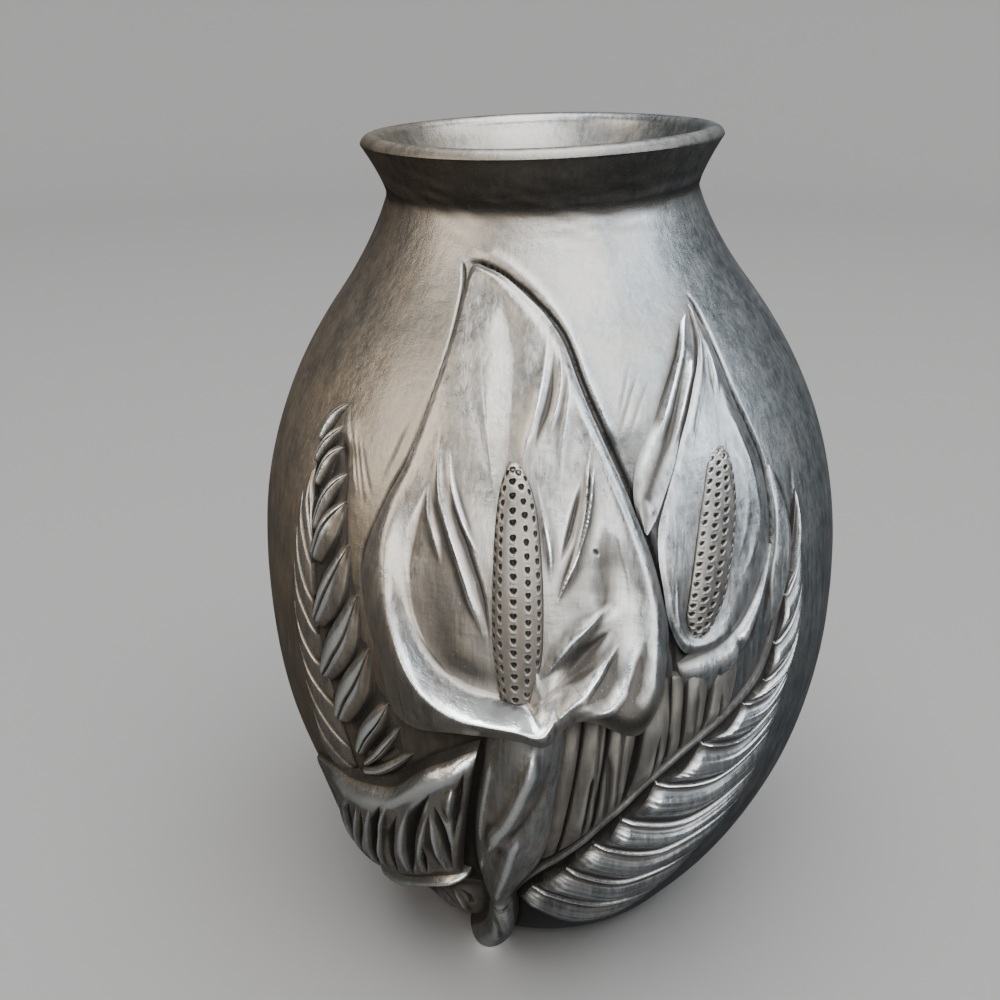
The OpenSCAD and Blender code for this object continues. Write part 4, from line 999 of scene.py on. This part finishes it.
# the right frond: by turns a leaflet's sharp lower edge and its round upper shoulder, root, middle and tip
rightFrond = {
    "lines": [
        [[-8.2, 17.5], [3.4, 8.9], [20, 6.6]],
        [[-7, 19.5], [6, 12.3], [24, 10.5]],
        [[-5, 21], [10.8, 15], [28, 14]],
        [[-2.4, 23.8], [13, 18.4], [30.5, 18]],
        [[1.8, 25.8], [15, 21.2], [33.5, 23]],
        [[3.6, 29.2], [17, 24.7], [36, 27]],
        [[6.6, 31], [20.4, 27.3], [40, 30.8]],
        [[9, 33], [22.6, 30.6], [41, 33.8]],
        [[11, 35.2], [24.6, 32.4], [41.6, 36.2]],
        [[14, 38], [26.6, 36.4], [42.2, 39.2]],
        [[16.5, 40.7], [28.6, 39], [43, 42.1]],
        [[20.5, 42.2], [31, 41.2], [43.8, 44.2]],
        [[24.5, 45.2], [33.4, 43.8], [44.6, 46.4]],
        [[28.8, 46.4], [36.4, 46.4], [46, 49.5]],
        [[33, 48.8], [39.5, 48.7], [46.3, 51.4]],
        [[35.6, 49.6], [42, 50.6], [47.6, 53.4]],
        [[38.2, 50.4], [44, 52.2], [48.7, 55.6]],
        [[39.2, 52.4], [44.4, 54], [48.9, 57.6]],
        [[40.3, 54.4], [44.8, 56], [49, 59.8]],
        [[41.8, 57], [45.4, 58.6], [49, 61.4]],
        [[43, 59.6], [46, 61.4], [49.2, 64]],
        [[45, 62.6], [47.2, 65.4], [50, 69]],
        [[46.2, 65.2], [47.8, 67.6], [50.2, 70.8]],
    ],
    "section": [(0, 0.3), (0.025, 0.56), (0.05, 0.54), (0.08, 0.26), (0.2, 0.42), (0.4, 0.84), (0.55, 1),
                (0.68, 0.95), (0.85, 0.62), (0.95, 0.34), (1, 0.3)],
    "height": 3.0, "mesh": (32, 110),  # rows from line to line, and columns
    "rib": [[-9.4, 18.6], [-6.4, 22.4], [-3, 25.6], [1.2, 28.6], [4.6, 31.4], [8, 34.8], [11.5, 37.8],
            [15, 40.9], [19, 43.4], [23, 45.6], [28, 47.7], [33, 49.9], [37, 52.4], [39.8, 56], [42, 60],
            [44.4, 64], [45.6, 67.6]],
    "ribWidth": 2.2, "ribHeight": 0.7, "ribMesh": (200, 12), "combed": 0.13,
}


def rightBlade(values):
    deg, pct, u, v = fan(values["lines"], *values["mesh"])
    phase = (u % 2) / 2
    knots, heights = zip(*values["section"])
    size = values["height"] * (0.55 + 0.45 * ease(-u, -18, -8)) * ease(1.03 - v, 0, 0.6) ** 0.6
    size = size * (0.55 + 0.45 * ease(v, 0, 0.14))
    combed = handWave(u * 26, v * 3, 52, 9) + 0.7 * handWave(u * 60, v * 4, 54, 9)
    combed = values["combed"] * combed * ease(1 - v, 0, 0.3) * ease(v, 0, 0.12) * ease(20 - u, 0, 7)
    rise = 0.2 + size * throughKnots(knots, heights, phase) + combed
    rise = rise + 0.12 * handWave(deg * 0.6, pct * 0.9, 51)
    edge = ease(u, 0, 0.4) * ease(u[-1, 0] - u, 0, 0.4)
    rise = 0.15 + (rise - 0.15) * edge - 0.7 * (1 - ease(1 - v, 0, 0.05))
    return claySheet("rightFrondBlade", deg, pct, rise, blur=10, broad=200)


def ribPiece(values):
    scale = np.array([1.2, 1.85])  # mm in a degree round and a percent up
    rows, cols = values["ribMesh"]
    middle = curve(values["rib"], rows)
    ahead = np.gradient(middle, axis=0) * scale
    ahead = ahead / np.linalg.norm(ahead, axis=1)[:, None]
    side = np.stack([-ahead[:, 1], ahead[:, 0]], -1) / scale * values["ribWidth"] / 2
    v = np.linspace(-1, 1, cols)[None, :, None]
    both = middle[:, None] + side[:, None] * v
    u = np.linspace(0, 1, rows)[:, None]
    rise = 0.1 + values["ribHeight"] * (1 - 0.75 * ease(u, 0.3, 1)) * dome((v[..., 0] + 1) / 2, 0.6)
    rise = rise + 0.1 * handWave(both[..., 0], both[..., 1], 53)
    return claySheet("rightFrondRib", both[..., 0], both[..., 1], rise, tone=-0.45)


place(rightBlade(rightFrond), "carvedClay", "right_frond_blade")
place(ribPiece(rightFrond), "carvedClay", "right_frond_rib")

sideLeaf = {
    "left": [[43.4, 74.4], [43, 72], [42.8, 70], [42.2, 68], [41.2, 65.8], [40, 64], [39.4, 62],
             [39.4, 59.6], [39.6, 57]],
    "right": [[44.4, 74.4], [45.4, 72], [46, 70.4], [46.6, 68], [46.8, 65.9], [46.1, 64], [45, 61.8],
              [43.4, 60], [41.6, 57]],
    "height": 0.5, "lowHeight": 0.8, "worn": (0.3, 0.3), "fullness": 0.4, "mesh": (90, 24),
    "marks": [(-0.3, 0.5, 0.5, [[43.6, 66.5], [42.2, 63], [41.4, 59.4]]),
              (0.3, 0.6, 0.6, [[44.8, 70], [44.6, 66.6], [43.4, 63]])],
}
place(stalk("sideLeaf", sideLeaf), "carvedClay", "side_leaf")
print("right frond cut")

# the left frond: each inner leaflet by the slit along it and its widths above and below,
# and each outer one by its edge
leftFrond = {
    "slits": [
        ([[-38.4, 36.8], [-34, 38.2], [-30, 40.4], [-26, 43.2]], 0.9, 0.8),
        ([[-37.6, 38], [-33.6, 41], [-31, 43.6], [-28.3, 46.8]], 0.9, 0.7),
        ([[-38.2, 39.6], [-35.5, 43.3], [-32.7, 46.6], [-30.4, 50]], 1.8, 1.2),
        ([[-42, 44], [-39.8, 47.7], [-36.8, 51.8], [-33.8, 56.6]], 2.3, 2.6),
        ([[-45.2, 50], [-42, 53.5], [-38.7, 57.6], [-36.2, 62.6]], 2.6, 2.4),
        ([[-46.6, 57.2], [-44.2, 60.4], [-42, 63.7], [-39, 67.8]], 1.6, 3.0),
        ([[-47.4, 64.6], [-45.9, 67.8], [-44.2, 70], [-41, 72.2]], 1.2, 2.8),
        ([[-48, 67.8], [-46.8, 70.8], [-44.8, 73.4], [-41.8, 75]], 0.9, 1.3),
        ([[-49.2, 72.6], [-48.3, 74.6], [-47, 76.3], [-44.6, 77.4]], 0.9, 1.0),
        ([[-51, 74.8], [-49.8, 76.7], [-48.2, 78.2], [-45.6, 79.6]], 0.9, 0.9),
        ([[-51.4, 77], [-50.4, 79], [-49, 80.6], [-46.2, 81.8]], 1.0, 1.0),
    ],
    "girth": [0.8, 1.5, 1.5, 0.25],  # share of the width from root to tip
    "slitMesh": (13, 64),
    "slitSection": [(0, -0.5), (0.12, 0.1), (0.5, 0.65), (0.9, 0.95), (1, 0), (1.07, 1), (1.3, 0.98),
                    (1.6, 0.8), (1.9, 0.45), (2, 0.25), (2.15, -0.4), (2.35, -0.8), (2.75, -0.85),
                    (3, -0.5)],
    "edges": [
        [[-45, 32.5], [-49, 33], [-51.5, 35.5], [-52, 39]],
        [[-40.5, 36.5], [-44.5, 37], [-50, 39.5], [-52.5, 45]],
        [[-41, 40], [-45.5, 41.5], [-50.5, 44.5], [-54, 47.5]],
        [[-43.5, 46.5], [-47, 47.5], [-51.5, 49.5], [-55, 53.5]],
        [[-46, 52], [-49.5, 52.5], [-53.5, 55.5], [-55, 60.5]],
        [[-47, 56], [-50, 58], [-53, 60.5], [-55, 64.5]],
        [[-47.5, 60], [-50.5, 62], [-53, 65], [-54.5, 68.5]],
        [[-48.5, 64.5], [-50.5, 66.5], [-53, 69.5], [-54, 72.5]],
        [[-48.5, 67], [-49.5, 68.5], [-51.5, 71.5], [-51.5, 75]],
        [[-50, 72], [-50.5, 73], [-51, 74], [-51, 75.5]],
    ],
    "edgeSection": [(0, 0.6), (0.16, 0.9), (0.4, 1), (0.7, 0.95), (0.82, 0.8), (0.89, -0.2), (0.96, -0.2),
                    (1, 0.7)],
    "edgeHeight": 0.65, "edgeMesh": (22, 60),
}


def innerBlade(values):
    # every leaflet is a plump strip with a slit, and a dark gap to the next
    lines, highs = [], []
    scale = np.array([1.25, 1.85])  # mm in a degree round and a percent up
    for slit, up, down in values["slits"]:
        slit = np.array(slit, float)
        ahead = np.gradient(slit * scale, axis=0)
        ahead = ahead / np.linalg.norm(ahead, axis=1)[:, None]
        side = np.stack([-ahead[:, 1], ahead[:, 0]], -1) / scale * np.array(values["girth"])[:, None]
        lines += [slit - side * down, slit, slit + side * up]
        highs.append(1.0 + 0.45 * min(up, 2.6))
    deg, pct, u, v = fan(lines, *values["slitMesh"])
    knots, heights = zip(*values["slitSection"])
    high = np.interp(u, 3 * np.arange(len(highs)) + 1, highs)
    size = high * np.sqrt(ease(v, -0.01, 0.15)) * (1 - 0.9 * ease(v, 0.35, 1))
    across = u % 3
    rise = 0.1 + size * throughKnots(knots, heights, across) + 0.1 * handWave(deg * 0.7, pct * 0.6, 61)
    rise = rise - 0.3 * (1 - ease(1 - v, 0, 0.2)) - 0.4 * (1 - ease(v, 0, 0.1))
    rise = rise - 0.6 * (1 - ease(u[-1, 0] - u, 0, 1))
    # painted highlight just above each leaflet's slit, painted shade on its lower half, and the whole frond
    # a little darker
    tone = 0.75 * np.exp(-((across - 1.3) / 0.25) ** 2) - 0.2 - 0.4 * np.exp(-((across - 0.4) / 0.35) ** 2)
    return claySheet("leftFrondInner", deg, pct, rise, blur=10, broad=240, tone=tone)


def outerBlade(values):
    deg, pct, u, v = fan(values["edges"], *values["edgeMesh"])
    knots, heights = zip(*values["edgeSection"])
    size = values["edgeHeight"] * np.sqrt(ease(v, -0.01, 0.25)) * ease(1.05 - v, 0, 0.5)
    rise = 0.1 + size * throughKnots(knots, heights, u % 1) + 0.1 * handWave(deg * 0.7, pct * 0.6, 63)
    ends = ease(u, 0, 0.4) * ease(u[-1, 0] - u, 0, 0.6)
    rise = 0.1 + (rise - 0.1) * ends - 0.6 * (1 - ease(1 - v, 0, 0.1))
    return claySheet("leftFrondOuter", deg, pct, rise, blur=10, broad=200)


place(innerBlade(leftFrond), "carvedClay", "left_frond_inner_blade")
place(outerBlade(leftFrond), "carvedClay", "left_frond_outer_blade")
print("left frond cut")

# the pleated leaf: its low and high edge, its bulge up the leaf and along it, and its pleats
pleatedLeaf = {
    "low": [[-66, 16], [-61, 10.6], [-54, 11.5], [-48, 13], [-42, 14.6], [-36, 16.6], [-30, 19.2],
            [-24.6, 21.8], [-19.4, 23.2]],
    "high": [[-65, 23], [-59, 30.8], [-51, 34], [-46, 35.3], [-41, 36], [-36.6, 37], [-32.8, 38],
             [-29.6, 39], [-27.2, 40.4], [-24.2, 42.7], [-21.4, 44.6], [-18.3, 46], [-15.8, 47.2],
             [-13.4, 48]],
    "section": [(0, 0.55), (0.15, 0.85), (0.4, 1), (0.62, 0.92), (0.78, 0.95), (0.87, 1), (0.94, 0.75),
                (1, 0.1)],
    "mesh": (260, 90),
    "lowHeights": [(0, 0.4), (0.12, 2.6), (0.25, 4.6), (0.4, 5.4), (0.8, 5.2), (0.93, 4.4), (1, 3)],
    "highHeights": [(0, 0.2), (0.1, 0.8), (0.2, 2), (0.32, 4), (0.45, 5.2), (0.75, 5.6), (0.9, 5), (1, 3)],
    "marks": [
        (-1.6, 1.0, 1.4, [[-49.5, 29], [-54, 24], [-58, 16]]),
        (-2.2, 1.0, 1.3, [[-41.6, 31.5], [-44.5, 27.5], [-48, 22], [-51.5, 15.5]]),
        (0.8, 0.6, 0.6, [[-38.4, 33], [-40, 29.5], [-42.4, 25.5], [-46.5, 18.5]]),
        (-2.4, 0.35, 0.35, [[-37.4, 32.4], [-39.4, 28.5], [-41.6, 25], [-46.4, 17.4]]),
        (0.6, 0.8, 0.8, [[-34.6, 34], [-37, 29.5], [-39.5, 24.5], [-44, 16.8]]),
        (-2.3, 0.9, 1.2, [[-31.4, 36], [-34, 31.6], [-36.8, 27], [-40.6, 20.5], [-43, 16.5]]),
        (0.9, 0.5, 0.9, [[-29.4, 37], [-32, 33], [-33.8, 29], [-36, 23.8], [-38.4, 17.6]]),
        (-1.2, 0.5, 0.7, [[-28, 35.5], [-30, 32], [-31.8, 28], [-34, 22], [-36, 18]]),
        (0.7, 1.2, 1.2, [[-25.4, 37.5], [-27.4, 33.4], [-28.9, 29], [-30, 24.6], [-32, 20]]),
        (-2.4, 0.8, 1.2, [[-20.8, 41], [-23.4, 37.4], [-25.8, 33.2], [-27.4, 29], [-29, 24.4],
                          [-30.6, 20.4]]),
        (0.9, 0.7, 0.7, [[-22, 37.4], [-23.6, 33.4], [-25.4, 28.4], [-27.4, 22.6]]),
        (-2.2, 0.35, 0.35, [[-24, 31], [-24.8, 28], [-26, 24.4], [-26.6, 22.4]]),
        (1.0, 0.8, 0.8, [[-21.8, 37.6], [-21.4, 34], [-21.3, 29.6], [-21.6, 24.6]]),
        (-2.0, 0.6, 0.6, [[-20.8, 39], [-20.2, 35], [-19.9, 30.6], [-20.2, 25]]),
        (1.1, 0.9, 0.9, [[-17.4, 42], [-17.8, 39.6], [-18.6, 36]]),
        (-1.6, 0.6, 0.6, [[-15.2, 45], [-16.6, 41], [-17.6, 37], [-18.4, 32]]),
    ],
}
pleatedHem = {
    "left": [[-60, 10.4], [-54, 11.4], [-48, 12.9], [-42, 14.8], [-36, 17.2], [-31, 19.5], [-26, 21.6],
             [-21.5, 22.8], [-17.8, 23]],
    "right": [[-59, 8.6], [-52, 7.6], [-46, 9.2], [-40, 11.2], [-35, 13.4], [-30, 16], [-25.4, 18.8],
              [-21, 20.8], [-17.7, 21.6]],
    "height": 4.8, "lowHeight": 4.4, "worn": (0.2, 0.16), "fullness": 0.6, "wave": 73, "mesh": (130, 24),
    "marks": [(-0.3, 0.5, 0.5, [[-36, 15], [-30, 17.6], [-23, 21]]),
              (0.5, 0.8, 0.8, [[-34, 16.6], [-28, 19.6], [-20, 22.8]])],
}
footLeaf = {
    "left": [[-33, 12.4], [-29, 15], [-25, 17.4], [-20, 19.4], [-14.6, 20]],
    "right": [[-31, 7.4], [-27, 6], [-23, 5.4], [-19, 5.8], [-13.4, 8]],
    "height": 2.0, "lowHeight": 2.4, "worn": (0.2, 0.7), "fullness": 0.5, "wave": 75, "tone": -0.4,
    "mesh": (70, 40),
    "marks": [
        (-0.8, 0.5, 0.5, [[-22.6, 16.6], [-20.6, 15.6], [-20.2, 13.6], [-21.6, 12.6]]),
        (-0.7, 0.5, 0.5, [[-28, 14.6], [-26.4, 13.2], [-25, 10.6]]),
        (-0.7, 0.5, 0.5, [[-28.4, 11], [-26.6, 9.2], [-25.4, 7.2]]),
        (0.6, 0.6, 0.6, [[-24, 16.4], [-23, 13], [-23.2, 9]]),
    ],
}


def pleats(values):
    deg, pct, u, v = strip(values["low"], values["high"], values["mesh"])
    v = v + 0 * u
    low, high, up = [throughKnots(*zip(*values[key]), at) for key, at in
                     (("lowHeights", u[:, 0]), ("highHeights", u[:, 0]), ("section", v))]
    bulge = low[:, None] + (high - low)[:, None] * ease(v, 0.2, 0.9)
    rise = 0.2 + bulge * up + 1.5 * carve(deg, pct, values["marks"], 14, 0.12) * ease(1 - v, 0, 0.1)
    rise = rise - (1 - ease(1 - v, 0, 0.06)) - 1.2 * (1 - ease(u, 0, 0.06))
    return claySheet("pleatedLeaf", deg, pct, rise + 0.15 * handWave(deg * 0.5, pct * 0.5, 71), broad=200)


place(pleats(pleatedLeaf), "carvedClay", "pleated_leaf")
place(stalk("pleatedLeafHem", pleatedHem), "carvedClay", "pleated_leaf_hem")
place(stalk("footLeaf", footLeaf), "carvedClay", "foot_leaf")
print("pleated leaf folded")

# painted shade in the recesses, from how far the neighbours rise round each point: how far round a point its
# neighbours count, in mm, how much each way counts, from above round by the right, and how dark a recess
# turns
recessShade = {
    "left": -76, "right": 62, "top": 104, "stepRound": 0.4, "stepUp": 0.3,
    "tall": 1.85,  # mm in a percent
    "reach": (0.7, 1.4, 2.6, 4.4, 7),
    "ways": (1.7, 1.3, 1.0, 0.6, 0.4, 0.6, 1.0, 1.3),
    "open": 0.09, "dark": 1.5,
    "smooth": {  # pieces whose painted shade is scaled by this share
        "largeSpathe": 0.2, "largeTube": 0.25, "smallSpathe": 0.3, "smallWing": 0.3, "smallCup": 0.4,
        "largeSpadix": 0.4, "smallSpadix": 0.4, "rightFrondBlade": 0.5, "sideLeaf": 0.5, "potShell": 0.7,
    },
}


def shadeRecesses(values):
    left, stepRound, stepUp = values["left"], values["stepRound"], values["stepUp"]
    rows, cols = int(values["top"] / stepUp), int((values["right"] - left) / stepRound)
    top = np.zeros((rows, cols))
    for piece, first, deg, pct, rise in sheets:
        r, c = np.rint(pct / stepUp).astype(int), np.rint((deg - left) / stepRound).astype(int)
        here = (r >= 0) & (r < rows) & (c >= 0) & (c < cols)
        np.maximum.at(top, (r[here], c[here]), rise[here])
    for axis in (0, 1):
        top = np.maximum(top, np.maximum(np.roll(top, 1, axis), np.roll(top, -1, axis)))
    top = soften(top, 1, False)
    total = sum(values["ways"])
    for piece, first, deg, pct, rise in sheets:
        wide = np.radians(potRadius(heightAt(pct)))  # mm in a degree
        hidden = np.zeros(deg.shape)
        for k, share in enumerate(values["ways"]):
            a = 2 * pi * k / len(values["ways"])
            steep = np.zeros(deg.shape)
            for reach in values["reach"]:
                r = np.rint((pct + reach * cos(a) / values["tall"]) / stepUp).astype(int)
                c = np.rint((deg + reach * sin(a) / wide - left) / stepRound).astype(int)
                over = top[np.clip(r, 0, rows - 1), np.clip(c, 0, cols - 1)] - rise
                steep = np.maximum(steep, over / reach)
            hidden += share / total * steep / np.sqrt(1 + steep * steep)
        hidden = soften(np.clip(hidden - values["open"], 0, 1), 2, False)
        data = piece.data.attributes["relief"].data
        relief = np.zeros(len(data), np.float32)
        data.foreach_get("value", relief)
        dark = values["dark"] * values["smooth"].get(piece.name, 1)
        relief[first:first + deg.size] -= dark * hidden.ravel()
        data.foreach_set("value", np.clip(relief, -1, 1))


# painted shade goes into every recess
shadeRecesses(recessShade)
print("recesses smoked")

# lamps: place and aim in metres, size, watts, spread in degrees, tint, and what each one lights
studio = {
    "floor": (0.56, 0.555, 0.55, 1),
    # the floor's radius, the backdrop's bend and its height, in metres
    "flat": 1.2, "sweep": 0.5, "high": 1.3, "sides": 96,
    "world": (0.03, 0.031, 0.033, 1),
    "lights": {
        "frontBox": {"place": (0.10, -0.60, 0.80), "aim": (0, 0, 0.12), "size": (0.8, 0.5), "watts": 11,
                     "spread": 120, "tint": (1, 0.995, 0.98), "on": "clay"},
        "overhead": {"place": (0.05, 0.0, 0.85), "aim": (0, 0, 0.1), "size": (0.6, 0.6), "watts": 9,
                     "spread": 120, "tint": (0.97, 0.99, 1), "on": "clay"},
        "rightWindow": {"place": (0.6, -0.25, 0.5), "aim": (0, 0, 0.12), "size": (0.35, 0.5), "watts": 3.8,
                        "spread": 120, "tint": (0.86, 0.93, 1), "on": "clay"},
        "leftFill": {"place": (-0.7, -0.35, 0.45), "aim": (0, 0, 0.1), "size": (0.5, 0.5), "watts": 3.6,
                     "spread": 120, "tint": (1, 0.88, 0.73), "on": "clay"},
        "frontLow": {"place": (0.05, -1.0, 0.2), "aim": (0, 0, 0.08), "size": (1.4, 0.36), "watts": 12,
                     "spread": 120, "tint": (1, 0.98, 0.95), "on": "carving"},
        "frontFloor": {"place": (0.05, -0.55, 0.06), "aim": (0, 0, 0.08), "size": (0.9, 0.4), "watts": 0.9,
                       "spread": 140, "tint": (1, 0.98, 0.94), "on": "carving"},
        "backTop": {"place": (0.0, 0.28, 0.85), "aim": (0, 0, 0.12), "size": (0.7, 0.4), "watts": 20,
                    "spread": 120, "tint": (0.97, 0.99, 1), "on": "carving"},
        "rightFill": {"place": (0.5, -0.7, 0.35), "aim": (0.03, 0, 0.1), "size": (0.4, 0.4), "watts": 1.6,
                      "spread": 120, "tint": (0.88, 0.94, 1), "on": "carving"},
        "floorWash": {"place": (0.1, -0.3, 2.0), "aim": (0, 0.1, 0), "size": (2.4, 2.0), "watts": 48,
                      "spread": 180, "tint": (1, 1, 1), "on": "stage"},
    },
}


def setStudio(values):
    flat, sweep, high, sides = [values[key] for key in ("flat", "sweep", "high", "sides")]
    bend = [(flat + sweep * sin(a), sweep - sweep * cos(a)) for a in np.linspace(0, pi / 2, 12)]
    profile = [(r, 0) for r in (0.3, 0.6, 0.9)] + bend + [(flat + sweep, high)]
    around = [2 * pi * k / sides for k in range(sides)]
    points = [(r * cos(a), r * sin(a), z) for r, z in profile for a in around]
    faces = [tuple(range(sides))]
    for row in range(len(profile) - 1):
        for k in range(sides):
            first, after = row * sides + k, row * sides + (k + 1) % sides
            faces.append((first, first + sides, after + sides, after))
    mesh = bpy.data.meshes.new("paleFloor")
    mesh.from_pydata(points, [], faces)
    mesh.polygons.foreach_set("use_smooth", np.ones(len(mesh.polygons), bool))
    floor = bpy.data.objects.new("paleFloor", mesh)
    scene.collection.objects.link(floor)
    paper = bpy.data.materials.new("palePaper")
    paper.use_nodes = True
    shader = paper.node_tree.nodes["Principled BSDF"]
    shader.inputs["Base Color"].default_value = values["floor"]
    shader.inputs["Roughness"].default_value = 0.85
    mesh.materials.append(paper)
    floor.visible_glossy = False
    floor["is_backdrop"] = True
    groups = {name: bpy.data.collections.new(name) for name in ("clay", "carving", "stage")}
    groups["stage"].objects.link(floor)
    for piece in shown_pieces():
        groups["clay"].objects.link(piece)
        if piece.name != "potShell":
            groups["carving"].objects.link(piece)
    world = bpy.data.worlds.new("studio")
    scene.world = world
    world.use_nodes = True
    world.node_tree.nodes["Background"].inputs["Color"].default_value = values["world"]
    for name, light in values["lights"].items():
        data = bpy.data.lights.new(name, "AREA")
        data.shape = "RECTANGLE"
        data.size, data.size_y = light["size"]
        data.energy = light["watts"]
        data.spread = radians(light["spread"])
        data.color = light["tint"]
        lamp = bpy.data.objects.new(name, data)
        lamp.location = light["place"]
        toward = np.array(light["aim"]) - np.array(light["place"])
        lamp.rotation_euler = Vector(toward.tolist()).to_track_quat("-Z", "Y").to_euler()
        lamp.light_linking.receiver_collection = groups[light["on"]]
        scene.collection.objects.link(lamp)


setStudio(studio)
print("studio lit")
